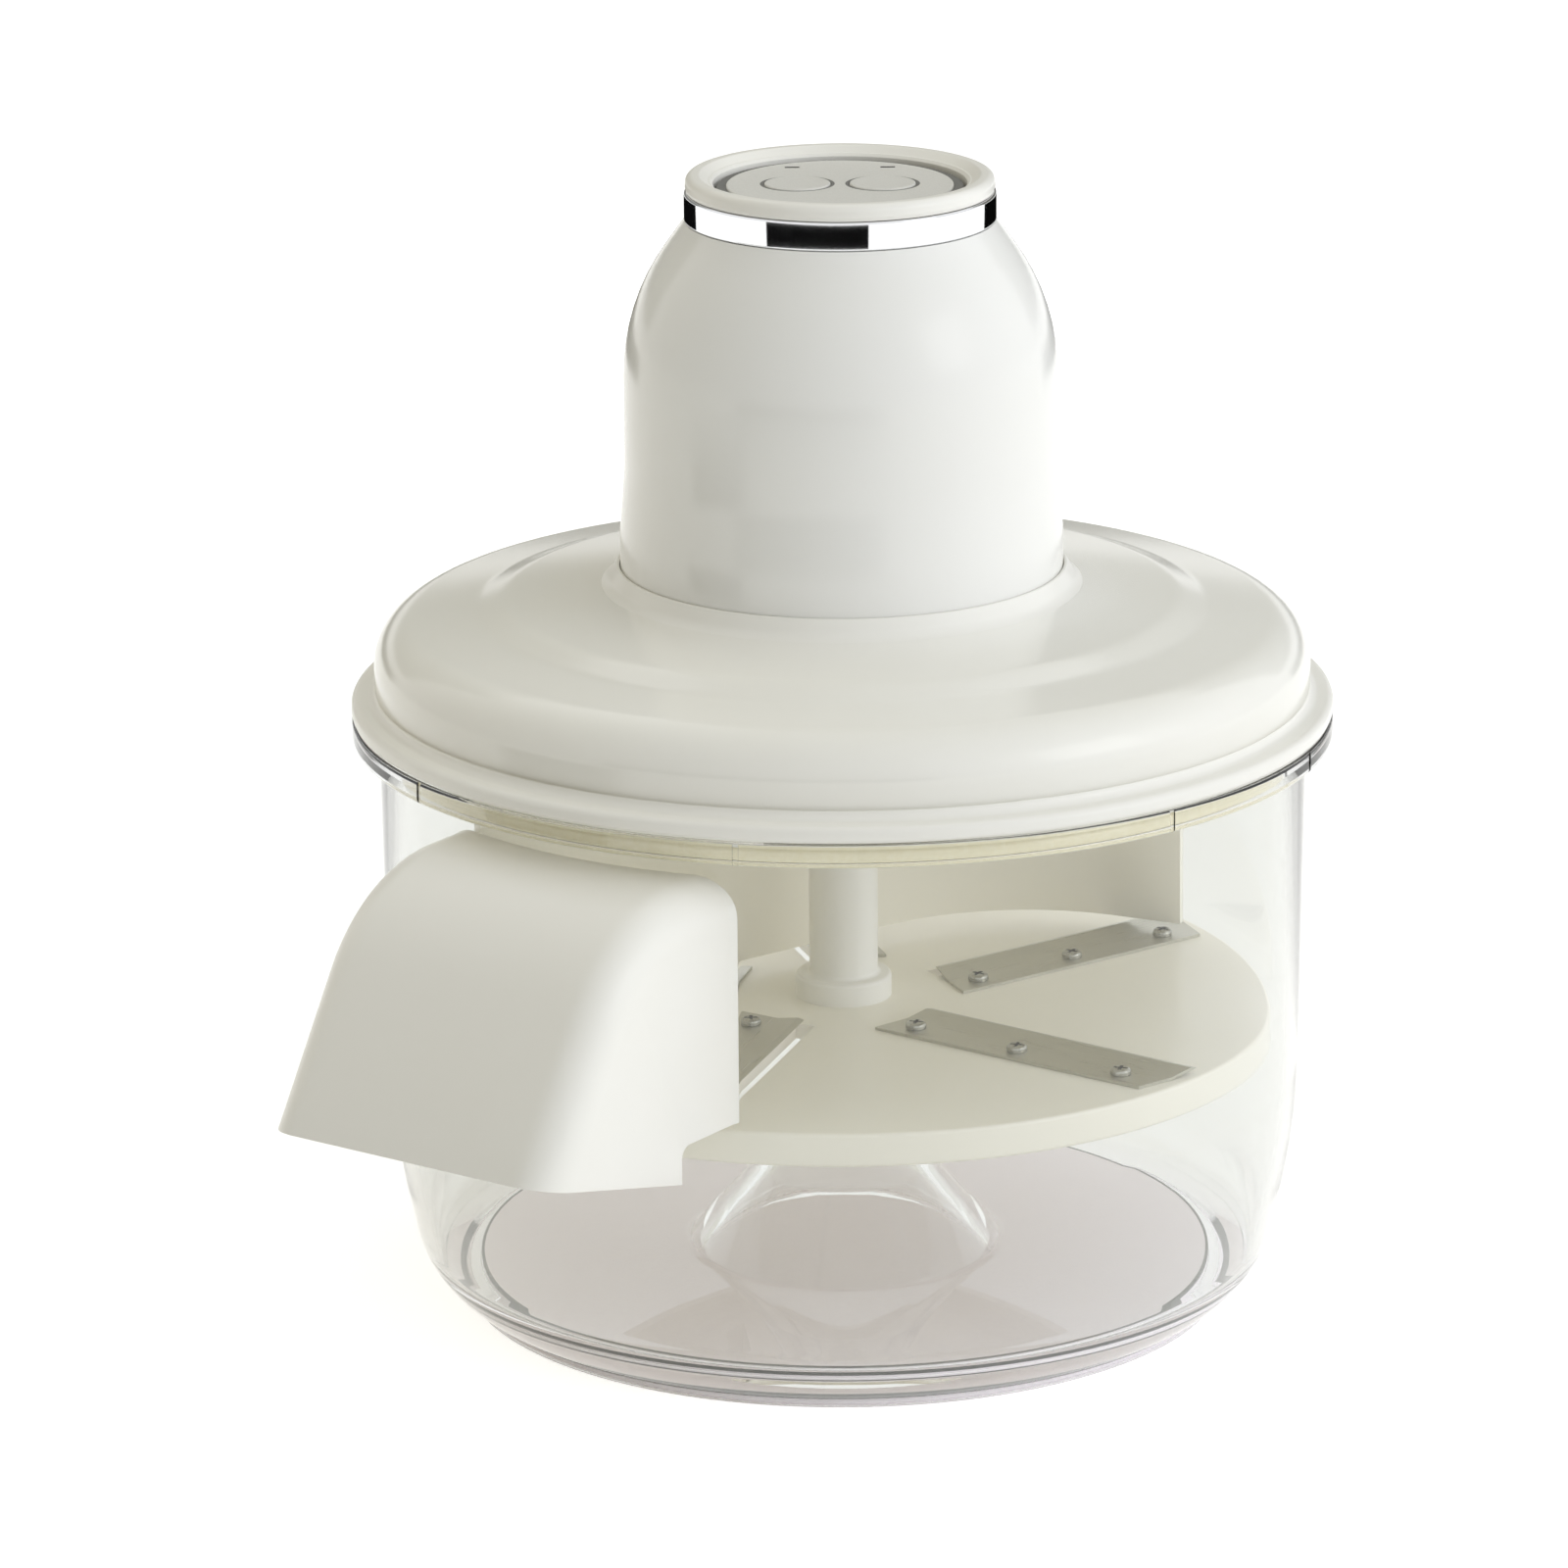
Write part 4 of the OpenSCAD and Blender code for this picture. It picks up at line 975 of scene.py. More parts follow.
    def guide(self) -> Piece:
        """Sweeps the guide wall and steps its end to pass through the window.

        Returns:
            The guide wall.
        """
        base = Vector((0, 0, self.under_floor))
        left: list[Vector] = []
        right: list[Vector] = []
        for spot, heading in self.guide_line():
            side = Vector((-math.sin(math.radians(heading)), math.cos(math.radians(heading))))
            left.append((spot + side * self.guide_t / 2).to_3d() + base)
            right.append((spot - side * self.guide_t / 2).to_3d() + base)
        height = Vector((0, 0, self.guide_top - self.under_floor))
        piece = prism("guide_wall_sheet", right + left[::-1], height)
        seat, neck = self.floor + SEAT_GAP, self.top - self.guide_neck_drop
        carve(piece, *[
            lathe("guide_cut", [
                (self.guide_neck_r, low), (self.reach, low), (self.reach, high), (self.guide_neck_r, high),
            ])
            for low, high in ((self.low, seat), (neck, self.guide_top + PAST))
        ])
        ease_edges(piece, self.guide_ease)
        return smooth(piece)

    def build(self) -> None:
        """Builds the hood and the guide wall."""
        fit(self.hood(), "bowl", "ivory", LIT_IVORY, "discharge_chute")
        fit(self.guide(), "bowl", "ivory", SHADED_IVORY, "guide_wall")


@dataclass
class PeelingDisc:
    """The turning disc with its slots, five raised blades, their screws and the drive tube."""

    r: float = 105.8
    top: float = top_of("blade_disc")
    plate: float = 3.6
    rim_h: float = 8.3
    rim_t: float = 3.5
    edge_r: float = 1.0
    hub_r: float = 13.0
    hub_fillet: float = 3.0
    hub_z: float = foot_of("blade_disc")
    bore_r: float = 6.2
    blade_angles: tuple[float, ...] = (-1.0, 71.0, 143.0, 215.0, 287.0)
    blade_back: float = -18.8
    blade_w: float = 17.5
    blade_flat: float = 10.0
    blade_rise: float = 1.5
    blade_t: float = 0.8
    blade_in: float = 27.5
    blade_skew: float = 4.5
    blade_len: float = 76.6
    grind: float = 1.6
    keen: float = 0.15
    blade_ease: float = 0.08
    slot_w: float = 4.8
    slot_end: float = 99.3
    screw_xs: tuple[float, ...] = (31.6, 61.3, 91.0)
    screw_y: float = -13.6
    head_r: float = 2.5
    head_h: float = 1.6
    head_round: float = 0.9
    head_ease: Point = (0.1, 0.15)
    recess: Corner = (3.3, 0.8, 1.1)
    recess_turns: Point = (20.0, 110.0)
    tube_r: float = 8.5
    tube_top: float = top_of("drive_tube")
    collar_r: float = 11.9
    collar_h: float = 5.6
    socket_r: float = 5.543
    socket_depth: float = 24.0
    socket_turn: float = 30.0
    spigot: float = 3.0

    def plate_piece(self) -> Piece:
        """Turns the disc and cuts a slot in front of every blade.

        Returns:
            The disc.
        """
        under, rim, edge_r = self.top - self.plate, self.top - self.rim_h, self.edge_r
        piece = lathe("disc_moulding", [
            (self.bore_r, self.hub_z), (self.hub_r, self.hub_z, edge_r), (self.hub_r, under, self.hub_fillet),
            (self.r - self.rim_t, under, edge_r), (self.r - self.rim_t, rim), (self.r, rim, edge_r),
            (self.r, self.top, edge_r), (self.bore_r, self.top),
        ])
        edge, start = self.blade_back + self.blade_w, self.blade_in - PAST
        slots = [
            block(
                "slot_cut", Vector(((start + self.slot_end) / 2, edge, self.top - self.plate / 2)),
                Vector((self.slot_end - start, self.slot_w, self.plate + 2 * PAST)), 0.0, angle,
            )
            for angle in self.blade_angles
        ]
        return smooth(carve(piece, *slots))

    def blade(self) -> Piece:
        """Draws the bent section of a blade, extrudes it and leaves its ends skewed.

        Returns:
            A blade that lies along the x axis, to be copied.
        """
        run = self.blade_w - self.blade_flat
        lift = self.blade_rise * (run - self.grind) / run
        section: list[Point] = [
            (0, 0), (self.blade_flat, 0), (self.blade_w, self.blade_rise),
            (self.blade_w, self.blade_rise + self.keen), (self.blade_w - self.grind, lift + self.blade_t),
            (self.blade_flat, self.blade_t), (0, self.blade_t),
        ]
        start = self.blade_in - self.blade_skew
        path = [
            Vector((start + self.blade_skew * y / self.blade_w, self.blade_back + y, self.top + z))
            for y, z in section
        ]
        piece = prism("blade_strip", path, Vector((self.blade_len, 0, 0)))
        ease_edges(piece, self.blade_ease, angle=30.0, segments=1)
        return smooth(piece, angle=12.0)

    def screw(self) -> Piece:
        """Turns a pan head and cuts its cross recess.

        Returns:
            The innermost screw of a blade along the x axis.
        """
        x, y, z = self.screw_xs[0], self.screw_y, self.top + self.blade_t
        r, head, (into, up) = self.head_r, z + self.head_h, self.head_ease
        piece = lathe("blade_screw", [
            (0.0, z), (r - into, z), (r, z + up), (r, head, self.head_round), (0.0, head),
        ], SMALL_STEPS, (x, y))
        long, wide, deep = self.recess
        return smooth(carve(piece, *[
            block("recess_cut", Vector((x, y, head)), Vector((long, wide, 2 * deep)), turn)
            for turn in self.recess_turns
        ]))

    def screws(self) -> Piece:
        """Copies the screw to its three places on each of the five blades.

        Returns:
            All fifteen heads as one piece.
        """
        first = self.screw()
        row = [first]
        for x in self.screw_xs[1:]:
            twin = copied(first, "blade_screw_twin", 0.0)
            twin.location.x = (x - self.screw_xs[0]) * MM
            row.append(settle(twin))
        line = joined("screw_row", row)
        rows = [copied(line, "screw_row_twin", angle) for angle in self.blade_angles]
        bpy.data.objects.remove(line)
        return joined("blade_screw_heads", rows)

    def tube(self) -> Piece:
        """Turns the drive tube with its collar and sinks the hexagonal socket.

        Returns:
            The drive tube.
        """
        low, collar = self.top - self.spigot, self.top + self.collar_h
        bore, edge_r = self.bore_r - CLOSE, self.edge_r
        piece = lathe("drive_tube_moulding", [
            (0.0, low), (bore, low), (bore, self.top), (self.collar_r, self.top),
            (self.collar_r, collar, edge_r), (self.tube_r, collar, edge_r),
            (self.tube_r, self.tube_top, edge_r), (0.0, self.tube_top),
        ], TUBE_STEPS)
        select_none()
        bpy.ops.mesh.primitive_cylinder_add(
            vertices=6, radius=self.socket_r * MM, depth=2 * self.socket_depth * MM,
            location=(0, 0, self.tube_top * MM), rotation=(0, 0, math.radians(self.socket_turn)),
        )
        return smooth(carve(piece, settle(bpy.context.object)))

    def build(self) -> None:
        """Builds the disc, its blades, screws and tube."""
        fit(self.plate_piece(), "peeling_disc", "ivory", SHADED_IVORY, "blade_disc")
        model = self.blade()
        for i, angle in enumerate(self.blade_angles, 1):
            steel = BrushedSteel(f"brushed_steel_{i}", *BLADE_STEEL, turn=angle)
            fit(copied(model, f"blade_strip_{i}", angle), "peeling_disc", "blade_steel", steel, f"blade_{i}")
        bpy.data.objects.remove(model)
        fit(self.screws(), "peeling_disc", "steel", SCREW_STEEL, "blade_screws")
        fit(self.tube(), "peeling_disc", "ivory", LIT_IVORY, "drive_tube")
        dress_node("hub_bush", BRONZE)


@dataclass
class Lid:
    """The ivory inner lid with its lip and collar, under the clear cover."""

    r: float = 114.6
    deck_z: float = top_of("lid_cover")
    steps_in: Point = (32.6, 25.6)
    steps_drop: Point = (2.9, 5.5)
    step_r: float = 14.0
    shoulder_drop: float = 9.3
    shoulder_r: float = 12.0
    cover_t: float = 2.0
    bond: float = 0.05
    taper: float = 12.0
    sink: float = 0.3
    liner_t: float = 2.4
    draw_in: float = 0.5
    edge_r: float = 58.4
    rim_r: float = 120.0
    lip_top: float = foot_of("lid_cover") - 0.2
    lip_h: float = 4.2
    lip_rounds: Point = (1.7, 1.4)
    cove: float = 2.2
    cove_wall: float = 0.7
    skirt_r: float = 109.3
    skirt_in: float = 106.3
    skirt_low: float = foot_of("lid_liner")
    skirt_edge: float = 0.5
    inner_edge: float = 1.0
    groove: Point = (foot_of("lid_gasket") - SEAT_GAP, top_of("lid_gasket") + SEAT_GAP)
    groove_r: float = 108.1
    collar_in: float = 54.15
    collar_edge: float = 0.7
    collar_rounds: Point = (0.2, 0.3)
    collar_mid: Corner = (56.8, 1.4, 4.0)
    collar_top: float = top_of("lid_liner")
    floor_r: float = 56.4
    floor_bend: float = 3.0
    seat_drop: float = 3.3
    bore: float = 11.0

    def deck(self, depth: float) -> list[Corner]:
        """Gives the stepped deck line at a depth below the outer surface.

        Args:
            depth: millimetres under the outer surface.

        Returns:
            The corners, from the middle outwards.
        """
        line: list[Corner] = [
            (self.r - into, self.deck_z - drop - depth, self.step_r)
            for into, drop in zip(self.steps_in, self.steps_drop)
        ]
        return [*line, (self.r - depth, self.deck_z - self.shoulder_drop - depth, self.shoulder_r - depth)]

    def full(self, depth: float) -> Corner:
        """Gives the point where the cover, thin at its inner edge, has come to this depth."""
        share = self.taper / (self.r - self.steps_in[0] - self.edge_r)
        return (self.edge_r + self.taper, self.deck_z - self.steps_drop[0] * share - depth)

    def cover(self) -> Piece:
        """Turns the clear cover, whose edges sit in the inner lid.

        Returns:
            The clear cover.
        """
        inner, side, foot = self.edge_r - self.sink, self.r - self.draw_in, self.lip_top - self.sink
        return smooth(lathe("lid_cover_shell", [
            (inner, self.deck_z), *self.deck(0.0), (side, foot), (side - self.cover_t, foot),
            *self.deck(self.cover_t)[::-1], self.full(self.cover_t),
        ]))

    def liner(self) -> Piece:
        """Turns the inner lid with its seat, flared collar, deck, coved lip and skirt.

        Returns:
            The inner lid.
        """
        depth = self.cover_t - self.bond
        mid_r, mid_up, flare = self.collar_mid
        side, cove = self.r - depth - self.draw_in, self.r - self.draw_in + SEAT_GAP
        lip, lip_low, seat = self.lip_top, self.lip_top - self.lip_h, self.deck_z - self.seat_drop
        cove_top, (groove_low, groove_top) = lip + self.cove, self.groove
        return smooth(lathe("lid_liner_moulding", [
            (self.bore, seat), (self.collar_in, seat),
            (self.collar_in, self.collar_top, self.collar_rounds[0]),
            (self.collar_in + self.collar_edge, self.collar_top, self.collar_rounds[1]),
            (mid_r, self.deck_z + mid_up, flare), (self.edge_r, self.deck_z),
            self.full(depth), *self.deck(depth), (side, lip),
            (cove - self.cove_wall, lip), (cove - self.cove_wall, cove_top), (cove, cove_top + SEAT_GAP),
            (cove, lip, self.cove), (self.rim_r, lip, self.lip_rounds[0]),
            (self.rim_r, lip_low, self.lip_rounds[1]), (self.skirt_r, lip_low),
            (self.skirt_r, groove_top), (self.groove_r, groove_top),
            (self.groove_r, groove_low), (self.skirt_r, groove_low),
            (self.skirt_r, self.skirt_low, self.skirt_edge), (self.skirt_in, self.skirt_low),
            (self.skirt_in, lip - self.lip_h / 2, self.inner_edge),
            (side - self.liner_t, lip, self.inner_edge), *self.deck(depth + self.liner_t)[::-1],
            (self.floor_r, seat - self.liner_t, self.floor_bend), (self.bore, seat - self.liner_t),
        ]))

    def build(self) -> None:
        """Builds the cover and the inner lid."""
        fit(self.cover(), "lid", "clear_lid", CLEAR_LID, "lid_cover")
        fit(self.liner(), "lid", "ivory", LIT_IVORY, "lid_liner")
        dress_node("lid_gasket", SILICONE)


@dataclass
class MotorHead:
    """The bell-shaped housing with its chrome band, bezel, panel and buttons."""

    foot_z: float = foot_of("motor_housing")
    foot_r: float = 53.9
    foot_in: float = 51.3
    fine_edge: float = 0.5
    draw_up: Point = (16.0, 32.0)
    draw_r: float = 60.0
    side_r: float = 52.6
    wall: float = 2.6
    crown_up: float = 71.671
    crown_r: float = 54.0
    band_r: float = 37.6
    band_z: float = foot_of("chrome_band")
    band_top: float = top_of("chrome_band")
    neck_r: float = 36.3
    neck_t: float = 2.4
    bezel_r: float = 37.3
    bezel_in: float = 30.6
    bezel_top: float = top_of("top_bezel")
    bezel_foot: tuple[Corner, ...] = ((0.3, 0.0, 0.3), (0.0, 1.0, 0.8))
    bezel_roll: tuple[Corner, ...] = ((0.0, 0.0, 1.8), (3.4, 0.0, 0.9))
    bezel_lip: tuple[Corner, ...] = ((1.1, 1.5, 0.4), (0.7, 1.5, 0.3), (0.0, 2.2, 0.3))
    spigot_r: float = 33.8
    spigot_z: float = foot_of("top_bezel")
    ledge: Point = (24.7, foot_of("control_panel"))
    ledge_t: float = 1.0
    well: float = 30.4
    panel_r: float = 27.4
    panel_t: float = 2.0
    panel_skirt: float = 2.2
    panel_top: float = top_of("control_panel")
    panel_turn: float = 35.0
    button_r: float = 8.0
    # Panel gasket's lip, raised to paint the shadow in the gap round the panel: its drop under the top and
    # its slope, then the rounds of its top edges, the second also on the button rings
    seal_drop: float = 0.5
    seal_slope: float = 0.9
    seal_rounds: Point = (0.3, 0.15)
    # Dark ring round each button, painted shadow in its gap: inner and outer radius, the outer also the
    # panel's hole, then height and drop under the panel's top
    ring: Point = (8.1, 9.0)
    ring_h: float = 1.2
    ring_drop: float = 0.05
    button_out: float = 10.25
    button_top: float = top_of("button_left")
    button_flange: Point = (9.0, 1.2)
    button_flange_drop: float = 3.9
    button_stem_r: float = 2.5
    button_foot: float = foot_of("button_left")
    button_round: float = 0.45
    dish: float = 0.2
    dish_rims: Point = (0.8, 3.0)
    dish_share: float = 0.75
    dish_bend: float = 20.0
    led: Point = (11.6, 19.104)
    led_size: Point = (3.6, 1.3)
    inlet: Point = (9.2, 3.5)
    inlet_from: float = 6.0
    inlet_run: float = 10.0
    inlet_z: float = (foot_of("charge_inlet") + top_of("charge_inlet")) / 2
    hidden: dict[str, Finish] = field(default_factory=lambda: {
        "head_base": SHADED_IVORY, "base_screws": SCREW_STEEL, "charge_inlet": INLET_METAL,
        "spindle_seal": DARK_SEAL_AND_SHADOW, "lower_bush": BRONZE, "upper_bush": BRONZE,
        "motor_plate": CAN_STEEL, "plate_screws": SCREW_STEEL, "drive_motor": CAN_STEEL,
        "battery_1": CELL_SLEEVE, "battery_2": CELL_SLEEVE,
        "led_windows": SMOKED_LENS, "control_board": BOARD_RESIST, "board_screws": SCREW_STEEL,
        "tact_switches": DARK_PLASTIC, "drive_spindle": GROUND_STEEL, "output_gear": GEAR_ACETAL,
        "motor_shaft": GROUND_STEEL, "motor_pinion": BRONZE,
    })

    def housing(self) -> Piece:
        """Turns the bell and cuts the charging inlet through its back.

        Returns:
            The housing.
        """
        low, high = (self.foot_z + up for up in self.draw_up)
        crown, neck_in = self.foot_z + self.crown_up, self.neck_r - self.neck_t
        neck_z, side_in = self.band_z - SEAT_GAP, self.side_r - self.wall
        piece = lathe("head_housing", [
            (self.foot_in, self.foot_z), (self.foot_r, self.foot_z, self.fine_edge),
            (self.foot_r, low, self.draw_r), (self.side_r, high, self.draw_r),
            (self.side_r, crown, self.crown_r), (self.band_r, neck_z), (self.neck_r, neck_z),
            (self.neck_r, self.band_top), (neck_in, self.band_top), (neck_in, neck_z - PAST),
            (side_in, crown - self.wall / 2, self.crown_r - self.wall),
            (side_in, high, self.draw_r), (self.foot_in, low, self.draw_r),
        ])
        wide, tall = self.inlet
        bend = tall / 2.01  # just under half the height, so that its ends are round
        turn = Matrix.Rotation(math.radians(self.panel_turn), 3, "Z")
        path = [
            turn @ Vector((x, self.foot_r - self.inlet_from, self.inlet_z + z)) for x, z in rounded([
                (x * wide / 2, z * tall / 2, bend) for x, z in ((-1, -1), (1, -1), (1, 1), (-1, 1))
            ])
        ]
        return smooth(carve(piece, prism("inlet_cut", path, turn @ Vector((0, self.inlet_run, 0)))))

    def band(self) -> Piece:
        """Turns the plated band.

        Returns:
            The band.
        """
        into, out, edge = self.neck_r + CLOSE, self.band_r, self.fine_edge
        return smooth(lathe("chrome_ring", [
            (into, self.band_z), (out, self.band_z, edge), (out, self.band_top, edge), (into, self.band_top),
        ]))

    def bezel(self) -> Piece:
        """Turns the bezel: a full outer roll, a coved slope and a small inner lip.

        Returns:
            The bezel.
        """
        top, low, (ledge_r, ledge_z) = self.bezel_top, self.band_top + SEAT_GAP, self.ledge
        return smooth(lathe("bezel_ring", [
            (ledge_r, ledge_z - self.ledge_t), (self.well, ledge_z - self.ledge_t),
            (self.well, self.spigot_z), (self.spigot_r, self.spigot_z), (self.spigot_r, low),
            *[(self.bezel_r - into, low + up, bend) for into, up, bend in self.bezel_foot],
            *[(self.bezel_r - into, top - down, bend) for into, down, bend in self.bezel_roll],
            *[(self.bezel_in + out, top - down, bend) for out, down, bend in self.bezel_lip],
            (self.bezel_in, ledge_z), self.ledge,
        ]))

    def row_point(self, side: Side) -> Point:
        """Gives where a button stands.

        Args:
            side: which of the two buttons.

        Returns:
            Its axis in millimetres.
        """
        turn = math.radians(self.panel_turn)
        out = side.value * self.button_out
        return (out * math.cos(turn), out * math.sin(turn))

    def panel(self) -> Piece:
        """Turns the panel and cuts the holes for the buttons and the indicator windows.

        Returns:
            The panel.
        """
        skirt, low = self.panel_r - self.panel_skirt, self.panel_top - self.panel_t
        piece = lathe("panel_plate", [
            (0.0, low), (skirt, low), (skirt, self.ledge[1]), (self.panel_r, self.ledge[1]),
            (self.panel_r, self.panel_top, self.fine_edge), (0.0, self.panel_top),
        ])
        hole, under, over = self.ring[1], low - PAST, self.panel_top + PAST
        cutters = []
        for side in Side:
            cutters.append(lathe(
                "button_cut", [(0.0, under), (hole, under), (hole, over), (0.0, over)],
                SMALL_STEPS, self.row_point(side),
            ))
            cutters.append(block(
                "led_cut", Vector((side.value * self.led[0], self.led[1], low + self.panel_t / 2)),
                Vector((*self.led_size, self.panel_t + 2 * PAST)), 0.0, self.panel_turn,
            ))
        return smooth(carve(piece, *cutters))

    def panel_seal_and_shadow(self) -> Piece:
        """Turns the dark gasket ring between panel and bezel, raised so that its lip sits just under the
        panel's top and paints the shadow in the gap round the panel.

        Returns:
            The dark ring.
        """
        low, mid, (outer, inner) = foot_of("panel_gasket"), top_of("panel_gasket"), self.seal_rounds
        into, out, top = self.panel_r + CLOSE, self.bezel_in - CLOSE, self.panel_top - self.seal_drop
        return smooth(lathe("panel_seal_and_shadow_ring", [
            (into, low), (out, low), (out, mid), (out - self.seal_slope, top, outer), (into, top, inner),
        ]))

    def shadow_ring(self, side: Side) -> Piece:
        """Turns the dark ring in the panel's hole round a button, painted shadow in the gap.

        Args:
            side: which of the two buttons.

        Returns:
            The ring.
        """
        (into, out), top = self.ring, self.panel_top - self.ring_drop
        low = top - self.ring_h
        return smooth(lathe(f"button_seal_{side.name.lower()}", [
            (into, low), (out, low), (out, top), (into, top, self.seal_rounds[1]),
        ], TUBE_STEPS, self.row_point(side)))

    def button(self, side: Side) -> Piece:
        """Turns a button with a shallow dish for the fingertip.

        Args:
            side: which of the two buttons.

        Returns:
            The button.
        """
        top, r, stem, (wide, tall) = self.button_top, self.button_r, self.button_stem_r, self.button_flange
        flange, (outer, inner) = top - self.button_flange_drop, self.dish_rims
        return smooth(lathe(f"push_button_{side.name.lower()}", [
            (0.0, self.button_foot), (stem, self.button_foot), (stem, flange), (wide, flange),
            (wide, flange + tall), (r, flange + tall), (r, top, self.button_round), (r - outer, top),
            (r - inner, top - self.dish * self.dish_share, self.dish_bend), (0.0, top - self.dish),
        ], TUBE_STEPS, self.row_point(side)))

    def build(self) -> None:
        """Builds the head and its buttons, and dresses what stays as it is."""
        fit(self.housing(), "motor_head", "housing", HOUSING, "motor_housing")
        fit(self.band(), "motor_head", "chrome", CHROME, "chrome_band")
        fit(self.bezel(), "motor_head", "ivory", LIT_IVORY, "top_bezel")
        fit(self.panel(), "motor_head", "panel", PANEL_PAINT, "control_panel")
        # The panel gasket is raised so that its dark lip paints the shadow in the gap round the panel
        fit(self.panel_seal_and_shadow(), "motor_head", "dark_rubber", DARK_SEAL_AND_SHADOW, "panel_gasket")
        for side in Side:
            name = side.name.lower()
            fit(self.button(side), f"{name}_button", "panel", PANEL_PAINT, f"button_{name}")
            # Dark ring round the button, painted shadow in its gap
            fit(self.shadow_ring(side), "motor_head", "dark_rubber", DARK_SEAL_AND_SHADOW)
        for node, finish in self.hidden.items():
            dress_node(node, finish)


@dataclass(frozen=True)
class SoftLight:
    """One soft lobe of the room's light: where it comes from, how narrow and how strong it is."""

    turn: float
    rise: float
    power: float
    strength: float
    colour: str


@dataclass(frozen=True)
class Card:
    """A curved card: its ends in degrees from the camera, its two heights and its paper."""

    name: str
    turns: Point
    heights: Point
    paper: Finish


@dataclass
class Studio:
    """The camera, a pale floor, soft light that is strongest on the right, and cards for the metal."""

    azimuth: float = 35.0
    distance: float = 1847.6
    height: float = 669.5
    pitch: float = 16.35
    roll: float = -0.27
    lens: float = 180.0
    sensor: float = 36.0
    shift: float = -0.0375
    clip: Point = (0.05, 40.0)
    bounces: int = 24
    soft_bounces: int = 12
    white: str = "#FFFFFF"
    floor_colour: str = "#F4F4F4"
    floor_size: float = 9000.0
    floor_drop: float = 0.2
    floor_lift: float = 0.5
    floor_dim: float = 0.4
    key_turn: float = 62.0
    key_rise: float = 26.0
    key_distance: float = 1900.0
    key_size: float = 800.0
    key_power: float = 2.0
    card_r: float = 560.0
    cards: tuple[Card, ...] = (
        Card("card_front", (-54.0, 20.0), (130.0, 185.0), BLACK_PAPER),
        Card("card_back", (130.0, 230.0), (130.0, 185.0), BLACK_PAPER),
        Card("card_left", (-82.0, -50.0), (0.0, 105.0), BLACK_PAPER),
        Card("card_rear", (125.0, 235.0), (250.0, 640.0), GREY_PAPER),
    )
    lights: tuple[SoftLight, ...] = (
        SoftLight(-150.0, 15.0, 4.0, 1.6, "#FFFEFB"),
        SoftLight(-95.0, 15.0, 4.0, 0.3, "#FFEABA"),
        SoftLight(45.0, 20.0, 4.0, 0.86, "#F1F5FF"),
        SoftLight(45.0, 0.0, 10.0, 1.55, "#FCFDFF"),
        SoftLight(95.0, 15.0, 4.0, 0.9, "#F5F7FF"),
        SoftLight(95.0, 0.0, 10.0, 1.15, "#FDFDFF"),
        SoftLight(70.0, 55.0, 6.0, 0.66, "#EBF2FF"),
        SoftLight(0.0, 90.0, 2.0, 0.58, "#FFFDE8"),
    )

    def toward(self, turn: float, rise: float = 0.0) -> Vector:
        """Gives a direction from the object.

        Args:
            turn: degrees to the right of the camera, seen from the object outwards.
            rise: degrees above the horizon.

        Returns:
            The unit direction.
        """
        a, e = math.radians(self.azimuth + turn), math.radians(rise)
        return Vector((math.sin(a) * math.cos(e), -math.cos(a) * math.cos(e), math.sin(e)))

    def paths(self) -> None:
        """Lets light bounce on inside the white bowl and along the clear walls."""
        cycles = bpy.context.scene.cycles
        cycles.max_bounces = cycles.transmission_bounces = self.bounces
        cycles.diffuse_bounces = cycles.glossy_bounces = self.soft_bounces

    def camera(self) -> None:
        """Stands the camera where the photograph was taken from."""
        data = bpy.data.cameras.new("camera")
        data.lens, data.sensor_width, data.shift_x = self.lens, self.sensor, self.shift
        data.clip_start, data.clip_end = self.clip
        eye = bpy.data.objects.new("camera", data)
        bpy.context.scene.collection.objects.link(eye)
        eye.location = (self.toward(0) * self.distance + Vector((0, 0, self.height))) * MM
        eye.rotation_euler = (
            Matrix.Rotation(math.radians(self.azimuth), 3, "Z")
            @ Matrix.Rotation(math.radians(90 - self.pitch), 3, "X")
            @ Matrix.Rotation(math.radians(self.roll), 3, "Z")
        ).to_euler()
        bpy.context.scene.camera = eye

    def floor(self) -> None:
        """Lays the white floor, which still takes the object's shadow."""
        select_none()
        bpy.ops.mesh.primitive_plane_add(size=self.floor_size * MM, location=(0, 0, -self.floor_drop * MM))
        piece = settle(bpy.context.object)
        piece.name = "studio_floor"
        made = bpy.data.materials.new("white_paper")
        tree = bare_tree(made)
        matt = add_node(tree, "ShaderNodeBsdfDiffuse", {"Color": linear(self.floor_colour)})
        through = add_node(
            tree, "ShaderNodeMath", {"operation": "MULTIPLY", 1: -self.floor_dim},
            {0: add_node(tree, "ShaderNodeLightPath").outputs["Is Transmission Ray"]},
        )
        share = add_node(
            tree, "ShaderNodeMath", {"operation": "MULTIPLY_ADD", 1: self.floor_lift},
            {0: self.seen_directly(tree), 2: through.outputs["Value"]},
        )
        lift = add_node(
            tree, "ShaderNodeEmission", {"Color": linear(self.white)}, {"Strength": share.outputs["Value"]}
        )
        both = add_node(
            tree, "ShaderNodeAddShader", links={0: matt.outputs["BSDF"], 1: lift.outputs["Emission"]}
        )
        add_node(tree, "ShaderNodeOutputMaterial", links={"Surface": both.outputs["Shader"]})
        piece.data.materials.append(made)

    def seen_directly(self, tree: Tree) -> Socket:
        """Gives 1 for rays from the camera, off a mirror or through glass, and 0 for soft light.

        Args:
            tree: the node tree of the floor or the world.

        Returns:
            The socket that carries it.
        """
        path = add_node(tree, "ShaderNodeLightPath").outputs
        seen = path["Is Camera Ray"]
        for other in ("Is Glossy Ray", "Is Transmission Ray"):
            seen = add_node(
                tree, "ShaderNodeMath", {"operation": "MAXIMUM"}, {0: seen, 1: path[other]}
            ).outputs["Value"]
        return seen

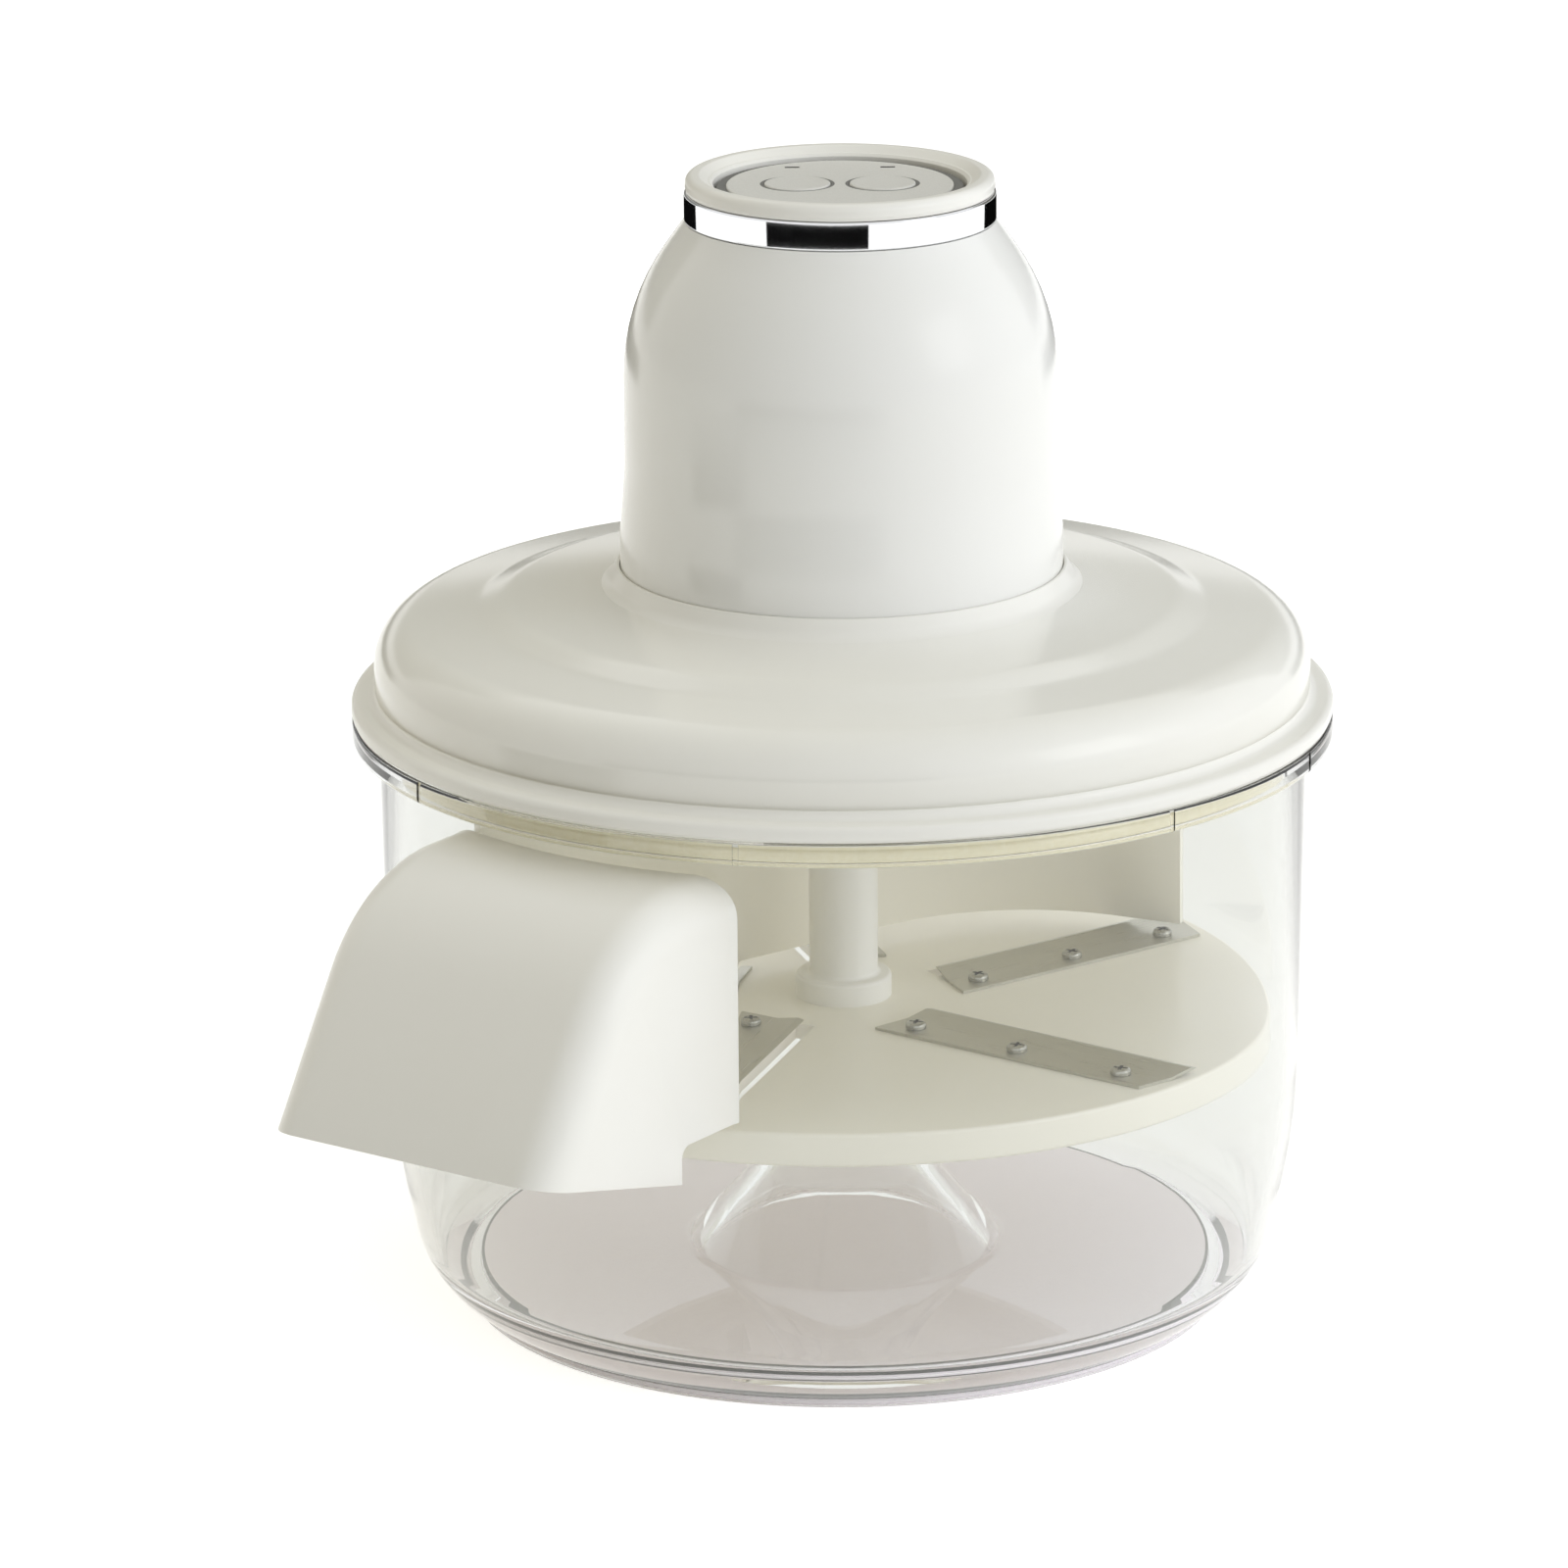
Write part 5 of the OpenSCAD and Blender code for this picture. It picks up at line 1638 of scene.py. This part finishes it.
    def world(self) -> None:
        """Fills the room with soft light for diffuse rays, on a white surround that all others see."""
        sky = bpy.context.scene.world = bpy.data.worlds.new("studio")
        tree = bare_tree(sky)
        way = add_node(tree, "ShaderNodeTexCoord").outputs["Generated"]
        room = None
        for light in self.lights:
            level = add_node(
                tree, "ShaderNodeVectorMath",
                {"operation": "DOT_PRODUCT", 1: tuple(self.toward(light.turn, light.rise))}, {0: way},
            ).outputs["Value"]
            for work, value in (("MAXIMUM", 0.0), ("POWER", light.power), ("MULTIPLY", light.strength)):
                level = add_node(
                    tree, "ShaderNodeMath", {"operation": work, 1: value}, {0: level}
                ).outputs["Value"]
            soft = add_node(
                tree, "ShaderNodeBackground", {"Color": linear(light.colour)}, {"Strength": level}
            ).outputs["Background"]
            room = soft if room is None else add_node(
                tree, "ShaderNodeAddShader", links={0: room, 1: soft}
            ).outputs["Shader"]
        plain = add_node(tree, "ShaderNodeBackground", {"Color": linear(self.white), "Strength": 1.0})
        both = add_node(
            tree, "ShaderNodeMixShader",
            links={0: self.seen_directly(tree), 1: room, 2: plain.outputs["Background"]},
        )
        add_node(tree, "ShaderNodeOutputWorld", links={"Surface": both.outputs["Shader"]})

    def key(self) -> None:
        """Hangs the soft lamp on the right that the gloss mirrors."""
        data = bpy.data.lights.new("soft_key", "AREA")
        data.shape, data.size, data.energy = "SQUARE", self.key_size * MM, self.key_power
        lamp = bpy.data.objects.new("soft_key", data)
        bpy.context.scene.collection.objects.link(lamp)
        way = self.toward(self.key_turn, self.key_rise)
        lamp.location = way * self.key_distance * MM
        lamp.rotation_euler = way.to_track_quat("Z", "Y").to_euler()
        lamp.visible_diffuse = False

    def stand(self, card: Card) -> None:
        """Stands a curved card round the object, which shows only in mirrored rays.

        Args:
            card: where it stands, and its paper.
        """
        (first, last), (low, high) = card.turns, card.heights
        path = []
        for k in range(BEND_STEPS + 1):
            way = self.toward(first + (last - first) * k / BEND_STEPS)
            path.append((way * self.card_r + Vector((0, 0, low))) * MM)
        piece = draw(card.name, path, closed=False)
        rise = Vector((0, 0, high - low)) * MM
        bpy.ops.mesh.extrude_region_move(TRANSFORM_OT_translate={"value": rise})
        settle(piece)
        dress(piece, card.paper)
        piece.visible_camera = piece.visible_diffuse = piece.visible_shadow = False
        piece.visible_transmission = False

    def build(self) -> None:
        """Builds the whole studio."""
        bpy.context.scene.view_settings.view_transform = "Standard"
        self.paths()
        self.camera()
        self.floor()
        self.world()
        self.key()
        for card in self.cards:
            self.stand(card)


def main() -> None:
    """Builds the studio and every sub-assembly, in order."""
    logging.basicConfig(level=logging.INFO, format="%(name)s: %(message)s")
    for part in (Studio(), Bowl(), Chute(), PeelingDisc(), Lid(), MotorHead()):
        part.build()
        LOG.info("%s is done", type(part).__name__)


if __name__ == "__main__":
    main()
